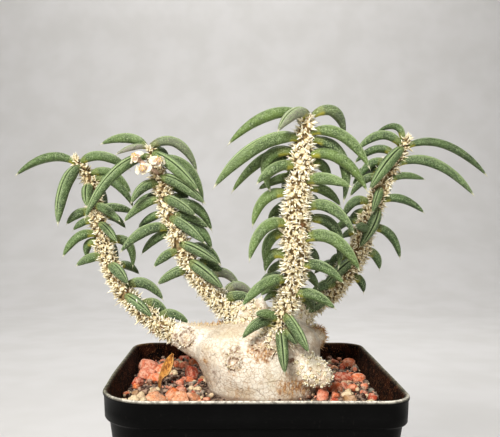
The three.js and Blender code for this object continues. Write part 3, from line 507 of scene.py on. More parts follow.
def smooth_line(knots, places):
    """Points on a centripetal Catmull-Rom curve through the knots, at places from 0 to 1."""
    knots = np.asarray(knots, float)
    padded = np.vstack([2 * knots[0] - knots[1], knots, 2 * knots[-1] - knots[-2]])
    spans = len(knots) - 1
    scaled = np.clip(places, 0, 1) * spans
    index = np.minimum(scaled.astype(int), spans - 1)
    t = (scaled - index)[:, None]
    p0, p1, p2, p3 = (padded[index + step] for step in range(4))
    d0, d1, d2 = (
        np.sqrt(np.linalg.norm(b - a, axis=1, keepdims=True))
        for a, b in ((p0, p1), (p1, p2), (p2, p3))
    )
    start = ((p1 - p0) / d0 - (p2 - p0) / (d0 + d1) + (p2 - p1) / d1) * d1
    end = ((p2 - p1) / d1 - (p3 - p1) / (d1 + d2) + (p3 - p2) / d2) * d1
    square = -3 * p1 + 3 * p2 - 2 * start - end
    cube = 2 * p1 - 2 * p2 + start + end
    return p1 + start * t + square * t**2 + cube * t**3


class Stem:
    """A stem's smooth centreline, with its radius and its axes by station."""

    def __init__(self, rows):
        rows = np.asarray(rows, float)
        places = np.linspace(0, 1, 1201)
        count = np.arange(len(rows), dtype=float)
        self.line = smooth_line(rows[:, :3], places)
        self.radii = smooth_line(np.column_stack([count, rows[:, 3]]), places)[:, 1]
        steps = np.linalg.norm(np.diff(self.line, axis=0), axis=1)
        self.stations = np.concatenate([[0], np.cumsum(steps)])
        self.slopes = unit(np.gradient(self.line, axis=0))
        self.length = self.stations[-1]

    def at(self, stations):
        stations = np.atleast_1d(np.asarray(stations, float))
        columns = range(3)
        point = np.stack([np.interp(stations, self.stations, self.line[:, c]) for c in columns], -1)
        slope = np.stack([np.interp(stations, self.stations, self.slopes[:, c]) for c in columns], -1)
        along = unit(slope)
        radius = np.interp(stations, self.stations, self.radii)
        front = unit(FRONT - along * (along @ FRONT)[:, None])
        right = np.cross(along, front)
        return point, radius, along, right, front


class Skin:
    """Collects points, faces and one number for each point under each name."""

    def __init__(self, *names):
        self.names = names
        self.points = []
        self.faces = []
        self.values = {name: [] for name in names}
        self.count = 0

    def add(self, points, faces, **values):
        points = np.asarray(points, float).reshape(-1, 3)
        for group in faces:
            self.faces.extend((np.asarray(group) + self.count).tolist())
        for name in self.names:
            value = np.asarray(values.get(name, 0.0), float)
            self.values[name].append(np.broadcast_to(value, (len(points),)))
        self.points.append(points)
        self.count += len(points)

    def add_tube(self, rings, ends, **values):
        """Adds a closed tube of rings of points, with a point at each end."""
        rings = np.asarray(rings)
        count, sides, _ = rings.shape
        self.add(np.vstack([rings.reshape(-1, 3), *ends]), tube_faces(count, sides), **values)

    def mesh(self, name):
        mesh = bpy.data.meshes.new(name)
        mesh.from_pydata((np.concatenate(self.points) * MM).tolist(), [], self.faces)
        write_values(mesh, **{key: np.concatenate(self.values[key]) for key in self.names})
        return mesh

    def piece(self, name, material, slot, replaces=()):
        return settle(name, self.mesh(name), material, replaces)


def write_values(mesh, **values):
    """Writes one number for each point under each name."""
    for name, value in values.items():
        layer = mesh.attributes.new(name, "FLOAT", "POINT")
        layer.data.foreach_set("value", value.astype(np.float32))


def linked(name, mesh, material, smooth=True):
    """An object of a mesh with one material, in the scene."""
    mesh.polygons.foreach_set("use_smooth", [smooth] * len(mesh.polygons))
    mesh.materials.clear()
    mesh.materials.append(material)
    mesh.update()
    made = bpy.data.objects.new(name, mesh)
    bpy.context.scene.collection.objects.link(made)
    return made


def settle(name, mesh, material, replaces=()):
    """Makes a piece of the part of a mesh."""
    piece = linked(name, mesh, material)
    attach(piece, "root")
    if replaces:
        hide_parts(*replaces)
    return piece


def ring_faces(rings, sides, first=0):
    """The faces of a tube of rings, whose points run anticlockwise seen from the last ring."""
    row, side = np.meshgrid(np.arange(rings - 1), np.arange(sides), indexing="ij")
    here = (first + row * sides + side).ravel()
    beside = (first + row * sides + (side + 1) % sides).ravel()
    return np.column_stack([here, beside, beside + sides, here + sides])


def fan_faces(centre, ring_start, sides, outward):
    """Triangles from a centre to a ring; outward is true at the last ring."""
    side = np.arange(sides)
    here = ring_start + side
    beside = ring_start + (side + 1) % sides
    middle = np.full(sides, centre)
    return np.column_stack([middle, here, beside] if outward else [middle, beside, here])


def tube_faces(rings, sides):
    """The faces of a closed tube, whose two end points follow its rings."""
    return [
        ring_faces(rings, sides),
        fan_faces(rings * sides, 0, sides, False),
        fan_faces(rings * sides + 1, (rings - 1) * sides, sides, True),
    ]


def circle(sides):
    """The cosines and sines of points round a circle, as columns."""
    turn = np.arange(sides) / sides * 2 * math.pi
    return np.cos(turn)[:, None], np.sin(turn)[:, None]


def with_ends(values, first, last):
    """The values of a tube's rings, then those of its two end points."""
    return np.append(np.ravel(values), [first, last])


def value_noise(points, size, seed=0.0, octaves=3):
    """Fractal noise for an array of points, features of the given size in millimetres."""
    shift = Vector((seed, 1.7 * seed, 2.3 * seed))
    return np.array([
        noise.fractal(Vector(point) + shift, 0.8, 2.0, octaves) for point in points / size
    ])


# Leaves


def leaf_line(stem, row):
    """The bend of a leaf: its four control points and the direction of its upper side."""
    station, azimuth, tip_x, tip_y, tip_z, arch, _ = row
    point, radius, along, right, front = (part[0] for part in stem.at(station))
    angle = math.radians(azimuth)
    radial = right * math.cos(angle) + front * math.sin(angle)
    base = point + radial * radius * LEAF_ROOT_DEPTH
    tip = np.array([tip_x, tip_y, tip_z], float)
    chord = tip - base
    line = unit(chord)
    upper = UP * LEAF_LIFT + radial * LEAF_OUT + along * LEAF_LIFT
    upper = unit(upper - line * (upper @ line))
    early = base + chord * LEAF_BEND_EARLY + upper * LEAF_ARCH_EARLY * arch
    late = base + chord * LEAF_BEND_LATE + upper * LEAF_ARCH_LATE * arch
    return (base, early, late, tip), upper, radius


def back_leaves(stem, back):
    """The leaves on the far side of a stem, spread to the left and to the right in turn."""
    rows = []
    station = back["first"]
    while station < stem.length - BACK_END:
        side = back["spread"] if len(rows) % 2 else -back["spread"]
        azimuth = back["turn"] + side
        point, radius, _, right, front = (part[0] for part in stem.at(station))
        angle = math.radians(azimuth)
        radial = right * math.cos(angle) + front * math.sin(angle)
        size = back["length"] * (0.8 + 0.2 * math.sin(3.1 * len(rows) + 1))
        tip = point + radial * (radius + BACK_REACH * size)
        tip[2] -= BACK_DROP * size
        rows.append([station, azimuth, *tip, BACK_ARCH * size, BACK_FATNESS])
        station += back["step"]
    return rows


def leaf_section(groove):
    """The ring of a leaf's section, for each groove amount, and its lip and slit shares."""
    half = np.array(LEAF_HALF_SECTION)
    mirror = half[-2:0:-1] * np.array([-1, 1, -1, 1, 1, 1])
    ring = np.vstack([half, mirror])
    groove = groove[:, None]
    sideways = ring[:, 0] * groove + ring[:, 2] * (1 - groove)
    upward = ring[:, 1] * groove + ring[:, 3] * (1 - groove)
    return sideways, upward, ring[:, 4] * groove, ring[:, 5] * groove


def add_leaf(skin, stem, row, tone, warm, young, facing, chance):
    (base, early, late, tip), upper, radius = leaf_line(stem, row)
    fatness = row[6]
    length = np.linalg.norm(tip - base)
    rings = int(np.clip(length * LEAF_RINGS_PER_MM, *LEAF_RINGS))
    share = np.linspace(0, 1, rings) ** 0.94
    t = share[:, None]
    line = (1 - t) ** 3 * base + 3 * t * (1 - t) ** 2 * early + 3 * t**2 * (1 - t) * late + t**3 * tip
    slope = unit(np.gradient(line, axis=0))
    facing = upper + FRONT * facing
    up = unit(facing - slope * (slope @ facing)[:, None])
    across = np.cross(slope, up)
    turn = chance.uniform(-LEAF_TURN, LEAF_TURN)
    twist = (turn + chance.uniform(-LEAF_TWIST, LEAF_TWIST) * share)[:, None]
    up, across = up * np.cos(twist) + across * np.sin(twist), across * np.cos(twist) - up * np.sin(twist)
    profile = np.array(LEAF_PROFILE)
    waves = 1 + 0.03 * np.sin(share * chance.uniform(9, 15) + chance.uniform(0, 6))
    half = LEAF_HALF * fatness * np.interp(share, profile[:, 0], profile[:, 1]) * waves
    groove = smoothstep(share, 0.07, 0.2) * (1 - 0.7 * smoothstep(share, 0.88, 1))
    sideways, upward, lip, slit = leaf_section(groove)
    sides = sideways.shape[1]
    points = (
        line[:, None, :]
        + across[:, None, :] * (half[:, None] * sideways)[..., None]
        + up[:, None, :] * (half[:, None] * upward)[..., None]
    )
    end = tip + slope[-1] * (0.5 + 0.5 * fatness)
    out = np.repeat(np.maximum(share * length - (1 - LEAF_ROOT_DEPTH) * radius, 0), sides)
    skin.add_tube(
        points,
        [base, end],
        share=with_ends(np.repeat(share, sides), 0, 1),
        out=with_ends(out, 0, length),
        lip=with_ends(lip, 0, 0),
        slit=with_ends(slit, 0, 0),
        keel=with_ends(np.clip(-upward, 0, 1), 0, 0),
        tone=tone,
        warm=warm,
        young=young,
    )


def leaves_of(name):
    branch = BRANCHES[name]
    stem = Stem(branch["rows"])
    chance = np.random.default_rng(sum(map(ord, name)))
    low, high = BRANCH_LOOKS[name]["warm"]
    facing = BRANCH_LOOKS[name]["facing"]
    skin = Skin("share", "out", "lip", "slit", "keel", "tone", "warm", "young")
    rows = branch["leaves"] + back_leaves(stem, branch["back"])
    for index, row in enumerate(rows):
        tone = chance.uniform(0, 1)
        # The warmth rises from the foot to the tip: partly the leaves' own colour, partly painted light
        # and shade, the low leaves darker where shade falls
        warm = low + (high - low) * row[0] / stem.length + chance.uniform(-0.12, 0.12)
        young = YOUNG_LEAVES.get((name, index), 0.0)
        turned_out = LEAF_TURNS.get((name, index), facing)
        add_leaf(skin, stem, row, tone, warm, young, turned_out, chance)
    return skin


# Bristles


def add_spikes(skin, roots, directions, bends, lengths, widths, root_pale, tip_pale, tones):
    """Papery points with flat four-sided sections, widest near the root, that bend as they rise."""
    sides = unit(np.cross(directions, bends))
    thick = np.cross(sides, directions) * SPIKE_FLATNESS
    reach = directions * lengths[:, None]
    bend = bends * lengths[:, None] * SPIKE_BEND
    corners = []
    for share, size in SPIKE_PROFILE:
        centre = roots + reach * share + bend * share**2
        for way in (sides, thick, -sides, -thick):
            corners.append(centre + way * (widths[:, None] * size))
    points = np.stack([*corners, roots + reach + bend], axis=1)
    tip = points.shape[1] - 1
    start = (np.arange(len(roots)) * (tip + 1))[:, None]
    groups = []
    for low in range(0, tip - 4, 4):
        for side in range(4):
            beside = (side + 1) % 4
            groups.append(start + [low + side, low + beside, low + 4 + beside, low + 4 + side])
    ends = [start + [tip - 4 + side, tip - 4 + (side + 1) % 4, tip] for side in range(4)]
    # Paleness runs from the root to the tip: the darker roots are partly the points' own browner bases
    # and partly painted shade where the points crowd
    place = np.append(np.repeat([share for share, _ in SPIKE_PROFILE], 4), 1.0)
    pale = root_pale[:, None] * (1 - place) + tip_pale[:, None] * place
    tones = np.repeat(tones, tip + 1)
    skin.add(points, [np.vstack(groups), np.vstack(ends)], pale=pale.ravel(), tone=tones)


def add_cushions(skin, centres, normals, alongs, sizes, pales, tones, scars):
    """Low round cushions, whose middles show the scar of a fallen leaf by the given shares."""
    sides = 10
    cosines, sines = circle(sides)
    beside = np.cross(normals, alongs)
    spread = alongs[:, None] * cosines + beside[:, None] * 1.15 * sines
    size = sizes[:, None, None]
    normal = normals[:, None]
    rings = [
        centres[:, None] + spread * size * wide + normal * size * high
        for wide, high, _, _ in CUSHION_PROFILE
    ]
    middle = centres[:, None] + normal * size * CUSHION_MIDDLE
    points = np.concatenate([*rings, middle], axis=1)
    each = points.shape[1]
    start = (np.arange(len(centres)) * each)[:, None, None]
    rows = len(CUSHION_PROFILE)
    tube = ring_faces(rows, sides)[None] + start
    cap = fan_faces(each - 1, (rows - 1) * sides, sides, True)[None] + start
    shade = np.array([row[2] for row in CUSHION_PROFILE])
    mark = np.array([row[3] for row in CUSHION_PROFILE])
    pale = np.append(np.repeat(shade, sides), 0.75)[None] * pales[:, None]
    scar = np.append(np.repeat(mark, sides), 1.0)[None] * scars[:, None]
    skin.add(
        points, [tube.reshape(-1, 4), cap.reshape(-1, 3)],
        pale=pale.ravel(), scar=scar.ravel(), tone=np.repeat(tones, each),
    )


def add_tufts(skin, centres, normals, alongs, sizes, pales, chance, length=1.0):
    """The crowns of papery points round old leaf scars."""
    count = len(centres)
    tones = chance.uniform(0, 1, count)
    scars = np.where(chance.uniform(0, 1, count) < SCARRED_SHARE, 1.0, 0.15)
    add_cushions(skin, centres, normals, alongs, 0.9 * sizes, 0.55 + 0.35 * pales, tones, scars)
    beside = np.cross(normals, alongs)
    each = TUFT_POINTS
    around = 2 * math.pi * (np.arange(each)[None] + chance.uniform(-0.35, 0.35, (count, each))) / each
    lean = (
        alongs[:, None] * np.cos(around)[..., None] + beside[:, None] * np.sin(around)[..., None]
    ).reshape(-1, 3)
    up = np.repeat(normals, each, axis=0)
    size = np.repeat(sizes, each)[:, None]
    total = count * each
    reach = chance.uniform(0.5, 1.05, (total, 1))
    roots = np.repeat(centres, each, axis=0) + lean * size * reach + up * 0.1 * size
    rise = chance.uniform(0.55, 1.2, (total, 1))
    spread = chance.uniform(0.0, 0.7, (total, 1))
    wild = chance.normal(0, 0.24, (total, 3))
    directions = unit(up * rise + lean * spread + wild)
    bends = unit(chance.normal(0, 0.6, (total, 3)) + lean * chance.uniform(-0.7, 0.5, (total, 1)))
    lengths = (1.3 + 1.2 * chance.uniform(0, 1, total) ** 1.3) * length * (0.6 + 0.4 * size[:, 0])
    widths = chance.uniform(0.24, 0.52, total)
    pale = np.repeat(pales, each)
    # The points' roots are darker than their tips, partly as painted shade
    add_spikes(
        skin, roots, directions, bends, lengths, widths, 0.64 * pale - 0.2, 0.88 + 0.3 * pale,
        np.repeat(tones, each),
    )


def add_core(skin, stem, start, end, chance):
    """The stem's own skin under the bristles."""
    stations = np.arange(start, end + 0.01, 0.9)
    point, radius, _, right, front = stem.at(stations)
    sides = 22
    cosines, sines = circle(sides)
    outward = right[:, None] * cosines - front[:, None] * sines
    core = np.maximum(radius - BRISTLE_DEPTH, 0.7)
    lumps = chance.uniform(-0.2, 0.2, (len(stations), sides))
    rings = point[:, None] + outward * (core[:, None] + lumps)[..., None]
    _, _, along, _, _ = stem.at(end)
    skin.add_tube(rings, [point[0], point[-1] + along[0] * 1.1], pale=0.18, tone=0.5)


def bristles_of(name):
    looks = BRANCH_LOOKS[name]
    stem = Stem(BRANCHES[name]["rows"])
    chance = np.random.default_rng(7 + sum(map(ord, name)))
    skin = Skin("pale", "scar", "tone")
    end = stem.length - looks["crown"]
    add_core(skin, stem, 0.5, end, chance)
    leaf_feet = []
    for row in BRANCHES[name]["leaves"]:
        (base, early, _, _), _, radius = leaf_line(stem, row)
        way = unit(early - base)
        leaf_feet += [base + way * radius * reach for reach in (0.1, 0.4, 0.7)]
    leaf_feet = np.array(leaf_feet)
    station = looks["bare"]
    turn = 0.0
    centres, normals, alongs, sizes, pales = ([] for _ in range(5))
    while station < end - 0.2:
        point, radius, along, right, front = (part[0] for part in stem.at(station))
        share = station / stem.length
        core = max(radius - BRISTLE_DEPTH, 0.75)
        angle = turn + chance.uniform(-0.2, 0.2)
        radial = right * math.cos(angle) + front * math.sin(angle)
        pale = looks["pale"][0] + (looks["pale"][1] - looks["pale"][0]) * share
        centre = point + radial * core + along * chance.uniform(-0.25, 0.25)
        station += TUFT_SPACING**2 * 0.82 / (2 * math.pi * max(core + 0.6, 1.2))
        turn += GOLDEN_TURN
        clearance = LEAF_CLEARANCE * min(1, radius / 4, 0.4 + station / 40)
        if np.min(np.linalg.norm(leaf_feet - centre, axis=1)) < clearance:
            continue
        centres.append(centre)
        normals.append(unit(radial + along * 0.25))
        alongs.append(along)
        sizes.append(chance.uniform(0.72, 1.12) * (0.75 + 0.25 * min(1, radius / 3.6)))
        pales.append(np.clip(pale + chance.uniform(-0.25, 0.2), 0, 1))
    normals = np.array(normals)
    alongs = np.array(alongs)
    alongs = unit(alongs - normals * np.sum(normals * alongs, axis=1, keepdims=True))
    add_tufts(skin, np.array(centres), normals, alongs, np.array(sizes), np.array(pales), chance)
    point, _, along, right, front = (part[0] for part in stem.at(end))
    count = TIP_POINTS
    around = GOLDEN_TURN * np.arange(count)[:, None]
    lean = right * np.cos(around) + front * np.sin(around)
    add_spikes(
        skin,
        point + lean * 0.7 + along * chance.uniform(-0.6, 0.9, (count, 1)),
        unit(along * chance.uniform(0.4, 1.1, (count, 1)) + lean * chance.uniform(0.2, 0.9, (count, 1))),
        unit(lean * 0.5 + along * chance.uniform(-0.2, 0.3, (count, 1))),
        chance.uniform(0.8, 1.6, count), chance.uniform(0.25, 0.5, count),
        np.full(count, 0.5), np.ones(count), np.full(count, 0.8),
    )
    return skin


# Trunk


def add_rod(skin, start, end, start_radius, end_radius, sides=24):
    """A tapered rod with round ends."""
    start = np.array(start, float)
    end = np.array(end, float)
    along = unit(end - start)
    beside = unit(np.cross(along, UP if abs(along[2]) < 0.9 else FRONT))
    cosines, sines = circle(sides)
    spread = beside * cosines + np.cross(along, beside) * sines
    rings = []
    for middle, radius, angles in (
        (start, start_radius, [-75, -50, -25, 0]), (end, end_radius, [0, 25, 50, 75]),
    ):
        for angle in np.radians(angles):
            rings.append(middle + along * radius * math.sin(angle) + spread * radius * math.cos(angle))
    skin.add_tube(rings, [start - along * start_radius, end + along * end_radius])


def add_body(skin, sides=64):
    """The trunk's body, with three broad and seven narrow swellings that fade below the dressing."""
    rows = np.array(CAUDEX_ROWS, float)
    heights = np.linspace(rows[0, 0], rows[-1, 0], 61)
    columns = [np.interp(heights, rows[:, 0], rows[:, c]) for c in range(1, 5)]
    turn = np.arange(sides) / sides * 2 * math.pi
    rings = []
    for height, middle_x, middle_y, width, depth in zip(heights, *columns):
        fade = smoothstep(height, 73, 79)
        swelling = 0.032 * np.sin(3 * turn + 0.09 * height) + 0.02 * np.sin(7 * turn - 0.21 * height)
        swell = 1 + fade * swelling
        rings.append(np.column_stack([
            middle_x + width * swell * np.cos(turn),
            middle_y + depth * swell * np.sin(turn),
            np.full(sides, height),
        ]))
    skin.add_tube(rings, [rings[0].mean(0) - UP, rings[-1].mean(0) + UP])


def applied(rough, kind, **settings):
    """The mesh of an object after a modifier of the given type and settings."""
    modifier = rough.modifiers.new(kind.lower(), kind)
    for key, value in settings.items():
        setattr(modifier, key, value)
    graph = bpy.context.evaluated_depsgraph_get()
    made = bpy.data.meshes.new_from_object(rough.evaluated_get(graph))
    rough.modifiers.clear()
    return made


def read_vectors(mesh, name):
    flat = np.zeros(len(mesh.vertices) * 3, np.float32)
    mesh.vertices.foreach_get(name, flat)
    return flat.reshape(-1, 3).astype(float)


def bell(reach, place, width):
    """A smooth ridge at a place."""
    return np.exp(-(((reach - place) / width) ** 2))


def scar_marks(points):
    """How far the scars push each point out, and their shares of ridge, groove and rust."""
    push, ridges, grooves, rust = np.zeros((4, len(points)))
    for x, y, z, radius, rise, sink in SCARS:
        distance = np.linalg.norm(points - [x, y, z], axis=1)
        near = distance < 3 * radius
        place = points[near]
        wobble = 1 + 0.3 * value_noise(place, 2.2, x + z) + 0.14 * value_noise(place, 0.8, z)
        reach = distance[near] * wobble / radius
        rim = bell(reach, 1, 0.2)
        inner_rim = bell(reach, 0.55, 0.14)
        dip = smoothstep(1.0 - reach, 0, 0.5)
        push[near] += rise * rim + 0.4 * rise * inner_rim - sink * dip
        for line in SCAR_LINES:
            patchy = smoothstep(value_noise(place, 1.8, line + x), -0.75, 0.0)
            grooves[near] = np.maximum(grooves[near], bell(reach, line, 0.12) * patchy)
        ridges[near] = np.maximum(ridges[near], np.clip(rim + inner_rim, 0, 1))
        rust[near] = np.maximum(rust[near], 0.35 * dip)
    return push, ridges, grooves, rust


def trunk_mesh():
    """The trunk as one fused skin, with its scars pressed in and its wrinkles raised."""
    skin = Skin()
    add_body(skin)
    for knob in CAUDEX_KNOBS.values():
        add_rod(skin, *knob)
    for first, last in zip(SIDE_SHOOT, SIDE_SHOOT[1:]):
        add_rod(skin, first[:3], last[:3], first[3], last[3])
    rough = linked("rough", skin.mesh("rough"), None)
    rough.data = applied(rough, "REMESH", mode="VOXEL", voxel_size=TRUNK_VOXEL * MM)
    mesh = applied(rough, "SMOOTH", factor=0.5, iterations=TRUNK_SMOOTHINGS)
    bpy.data.objects.remove(rough)
    points = read_vectors(mesh, "co") / MM
    normals = read_vectors(mesh, "normal")
    push, ridges, grooves, rust = scar_marks(points)
    for size, upright, seed, octaves, depth in TRUNK_RELIEF:
        push += value_noise(points * [1, 1, upright], size, seed, octaves) * depth
    for x, y, z, radius, strength in RUST_PATCHES:
        distance = np.linalg.norm(points - [x, y, z], axis=1) / radius
        near = distance < 2.4
        ragged = 1 + 0.6 * value_noise(points[near], 1.3, radius, 4)
        rust[near] += strength * bell(distance[near] * ragged, 0, 1)
    foot = 1 - smoothstep(points[:, 2], 72, 75.5)
    points += normals * push[:, None]
    mesh.vertices.foreach_set("co", (points * MM).astype(np.float32).ravel())
    write_values(mesh, rust=np.clip(rust, 0, 1), ridge=ridges, groove=grooves, foot=foot)
    mesh.update()
    return mesh


def spaced(points, chosen, spacing, chance):
    """Some of the chosen points, no two of them closer than the spacing."""
    kept = []
    for index in chance.permutation(chosen):
        point = points[index]
        if all(np.linalg.norm(points[other] - point) > spacing for other in kept):
            kept.append(index)
    return np.array(kept, int)


def tuft_places(points, normals):
    """Where the trunk carries tufts: on the side shoot and on the collars, clear of the scars."""
    x, y, z = points.T
    shoot = Stem(SIDE_SHOOT)
    line, radii, _, _, _ = shoot.at(np.linspace(1, shoot.length, 30))
    reach = np.min(np.linalg.norm(points[:, None] - line, axis=2) / radii, axis=1)
    places = (x > SHOOT_LEFT) & (y < SHOOT_REAR) & (z > SHOOT_LOW) & (reach < SHOOT_REACH)
    edge_x, edge_z, slope = SHOOT_EDGE
    places &= x - edge_x > slope * (edge_z - z)
    for name, low in NECKS.items():
        foot, neck = np.array(CAUDEX_KNOBS[name][:2], float)
        along = unit(neck - foot)
        height = (points - foot) @ along
        beside = np.linalg.norm(points - foot - height[:, None] * along, axis=1)
        places |= (height > low) & (beside < NECK_REACH)
    for *middle, radius, _, _ in SCARS:
        places &= np.linalg.norm(points - middle, axis=1) > radius * 1.25
    return np.flatnonzero(places & (normals[:, 2] > -0.75))


def trunk_trim(mesh):
    """What the trunk carries: tufts on its shoot and necks, frills round its scars and dry flakes of
    bark along its crest."""
    points = read_vectors(mesh, "co") / MM
    normals = read_vectors(mesh, "normal")
    chance = np.random.default_rng(41)
    skin = Skin("pale", "scar", "tone", "dry")
    chosen = spaced(points, tuft_places(points, normals), TUFT_SPACING * 0.9, chance)
    ups = normals[chosen]
    alongs = unit(chance.normal(0, 1, (len(chosen), 3)))
    alongs = unit(np.cross(ups, alongs))
    on_shoot = (points[chosen, 1] < SHOOT_REAR) & (points[chosen, 2] < SHOOT_HIGH)
    sizes = chance.uniform(0.75, 1.1, len(chosen)) * np.where(on_shoot, 0.8, 1.0)
    pales = chance.uniform(0.85, 1.0, len(chosen))
    for part, length in ((on_shoot, 0.45), (~on_shoot, 0.9)):
        feet = points[chosen][part] - ups[part] * 0.1
        add_tufts(skin, feet, ups[part], alongs[part], sizes[part], pales[part], chance, length)
    flakes = []

    def grow(where, spacing, rise, aim, shortest, longest, dry):
        """Flakes on some of the places, which stand up by the rise and lean the way of the aim."""
        for index in spaced(points, np.flatnonzero(where), spacing, chance):
            place, up = points[index], normals[index]
            way = up * rise + aim(place) + chance.normal(0, 0.3, 3)
            length, width = chance.uniform(shortest, longest), chance.uniform(0.14, 0.36)
            flakes.append([*(place - up * 0.15), *way, length, width, dry])

    for *middle, radius, rise, _ in SCARS:
        distance = np.linalg.norm(points - middle, axis=1)
        if rise > 0.4:
            rim = np.abs(distance - radius) < 0.3
            grow(rim, 0.5, 0.7, lambda place: unit(place - middle) * 0.5, 0.6, 1.5, 0.15)
            inner = distance < 0.62 * radius
            grow(inner, 0.7, 1, lambda place: unit(middle - place) * 0.3, 0.5, 1.1, 0.3)
    for *middle, radius, strength in RUST_PATCHES:
        if strength >= 0.75 and middle[1] > -2:
            near = np.linalg.norm(points - middle, axis=1) < radius * 1.15
            grow(near, 0.55, 0.8, lambda place: 0, 0.8, 1.9, 0.8)
    x, y, _ = points.T
    crest = (np.abs(x + 10) < 10) & (np.abs(y - 1) < 3.4) & (normals[:, 2] > 0.55)
    grow(crest, 0.9, 0.8, lambda place: 0, 0.5, 1.3, 0.35)
    flakes = np.array(flakes)
    count = len(flakes)
    bends = unit(chance.normal(0, 1, (count, 3)))
    add_spikes(
        skin, flakes[:, :3], unit(flakes[:, 3:6]), bends, flakes[:, 6], flakes[:, 7],
        np.full(count, 0.4), np.full(count, 1.0), chance.uniform(0, 1, count),
    )
    skin.values["dry"][-1] = np.repeat(flakes[:, 8], len(skin.points[-1]) // count)
    return skin


# Pot


def square_ring(side, tighter, height, per_corner=14, per_edge=16):
    """A square with round corners, as points that run anticlockwise seen from above."""
    arcs = []
    for quarter, corner in enumerate(POT_CORNERS):
        radius = corner - tighter
        turn = (quarter + np.arange(per_corner + 1) / per_corner) * math.pi / 2
        middle = (side / 2 - radius) * np.array(QUARTER_SIGNS[quarter])
        arcs.append(middle + radius * np.column_stack([np.cos(turn), np.sin(turn)]))
    ring = []
    steps = np.arange(1, per_edge)[:, None] / per_edge
    for arc, following in zip(arcs, arcs[1:] + arcs[:1]):
        ring += [arc, arc[-1] + (following[0] - arc[-1]) * steps]
    ring = np.vstack(ring)
    return np.column_stack([ring, np.full(len(ring), height)])


def pot_side_at(height):
    share = height / (POT_HEIGHT - POT_COLLAR_HEIGHT)
    return POT_FOOT_SIDE + (POT_SIDE - 2 * POT_COLLAR_STEP - POT_FOOT_SIDE) * share


def pot_inner_side_at(height):
    return pot_side_at(min(height, POT_HEIGHT - POT_COLLAR_HEIGHT)) - 2 * POT_WALL


def filling_side_at(height):
    return pot_inner_side_at(height) - 2 * GAP


def pressed_in(points):
    """The points with the pot's left side pressed in a little toward the front."""
    share = smoothstep(-points[:, 0], 28, 44) * smoothstep(-points[:, 1], 5, 40)
    push = 0.9 * share * smoothstep(points[:, 2], 30, 76)
    return points + push[:, None] * np.array([1.0, 0.0, 0.0])


def pot_skin():
    """The pot with its collar and rolled lip, before its drain holes are cut; inside and lip are 1 on
    those faces.
    """
    collar = POT_HEIGHT - POT_COLLAR_HEIGHT
    lip_foot = POT_HEIGHT - POT_LIP
    bevel = POT_FOOT_BEVEL
    step = POT_COLLAR_STEP
    rows = [
        [POT_FOOT_SIDE - 2 * bevel, step + bevel, 0, 0, 0],
        [POT_FOOT_SIDE - 0.6 * bevel, step + 0.4 * bevel, 0.25, 0, 0],
        [pot_side_at(bevel), step, bevel, 0, 0],
    ]
    for height in np.linspace(8, collar - 1.0, 9):
        rows.append([pot_side_at(height), step, height, 0, 0])
    rows += [
        [pot_side_at(collar) - 0.1, step, collar - 0.3, 0, 0],
        [pot_side_at(collar) + 0.5, step - 0.3, collar - 0.05, 0, 0],
        [POT_SIDE - 1.9, 0.9, collar + 0.05, 0, 0],
        [POT_SIDE - 1.3, 0.6, collar + 0.5, 0, 0],
        [POT_SIDE - 1.0, 0.5, collar + 3, 0, 0],
        [POT_SIDE - 0.7, 0.35, lip_foot - POT_LIP, 0, 0],
        [POT_SIDE - 0.2, 0.1, lip_foot - 0.35, 0, 0],
        [POT_SIDE, 0, lip_foot, 0, 0],
        [POT_SIDE - 0.14, 0.1, POT_HEIGHT - 0.4, 0, 0.35],
        [POT_SIDE - 0.45, 0.25, POT_HEIGHT - 0.12, 0, 1],
        [POT_SIDE - 0.9, 0.5, POT_HEIGHT, 0, 1],
        [POT_SIDE - 1.5, 0.8, POT_HEIGHT - 0.02, 0.2, 0.8],
        [POT_SIDE - 2.1, 1.1, POT_HEIGHT - 0.1, 0.8, 0.35],
        [POT_SIDE - 2.8, 1.4, POT_HEIGHT - 0.35, 1, 0.1],
        [POT_SIDE - 3.2, 1.6, lip_foot, 1, 0],
        [POT_SIDE - 3.5, 1.9, lip_foot - 1.5, 1, 0],
        [pot_inner_side_at(collar) + 1.4, 2.5, collar + 2.6, 1, 0],
        [pot_inner_side_at(collar) + 0.9, 2.7, collar + POT_WALL, 1, 0],
        [pot_inner_side_at(collar), step + POT_WALL, collar - POT_WALL / 2, 1, 0],
    ]
    for height in np.linspace(collar - 6, POT_FLOOR + bevel, 7):
        rows.append([pot_inner_side_at(height), step + POT_WALL, height, 1, 0])
    rows.append([pot_inner_side_at(POT_FLOOR) - 2 * bevel, step + POT_WALL + bevel, POT_FLOOR, 1, 0])
    skin = Skin("inside", "lip")
    rings = [square_ring(side, tighter, height) for side, tighter, height, _, _ in rows]
    sides = len(rings[0])
    inside = np.repeat([row[3] for row in rows], sides)
    lip = np.repeat([row[4] for row in rows], sides)
    points = np.vstack([*rings, [[0, 0, 0], [0, 0, POT_FLOOR]]])
    bow = value_noise(points * np.array([1, 1, 0.4]), 30, 2.0, 2)[:, None] * 0.22
    middle_free = smoothstep(points[:, 2], 1.5, 20)[:, None] * np.array([1, 1, 0])
    points = points * (1 - middle_free * np.abs(bow) / 45)
    skin.add(
        pressed_in(points), tube_faces(len(rings), sides),
        inside=with_ends(inside, 0, 1), lip=with_ends(lip, 0, 0),
    )
    return skin


def drain_cutter():
    """Four short rods that cut the drain holes."""
    shape = bmesh.new()
    radius = DRAIN_HOLE / 2 * MM
    for sign_x, sign_y in QUARTER_SIGNS:
        place = Vector((sign_x * DRAIN_OFFSET, sign_y * DRAIN_OFFSET, POT_FLOOR / 2)) * MM
        made = bmesh.ops.create_cone(
            shape, cap_ends=True, segments=32, radius1=radius, radius2=radius,
            depth=3 * POT_FLOOR * MM,
        )
        bmesh.ops.translate(shape, verts=made["verts"], vec=place)
    mesh = bpy.data.meshes.new("drain_cutter")
    shape.to_mesh(mesh)
    shape.free()
    return linked("drain_cutter", mesh, None, False)


# Stones and grit


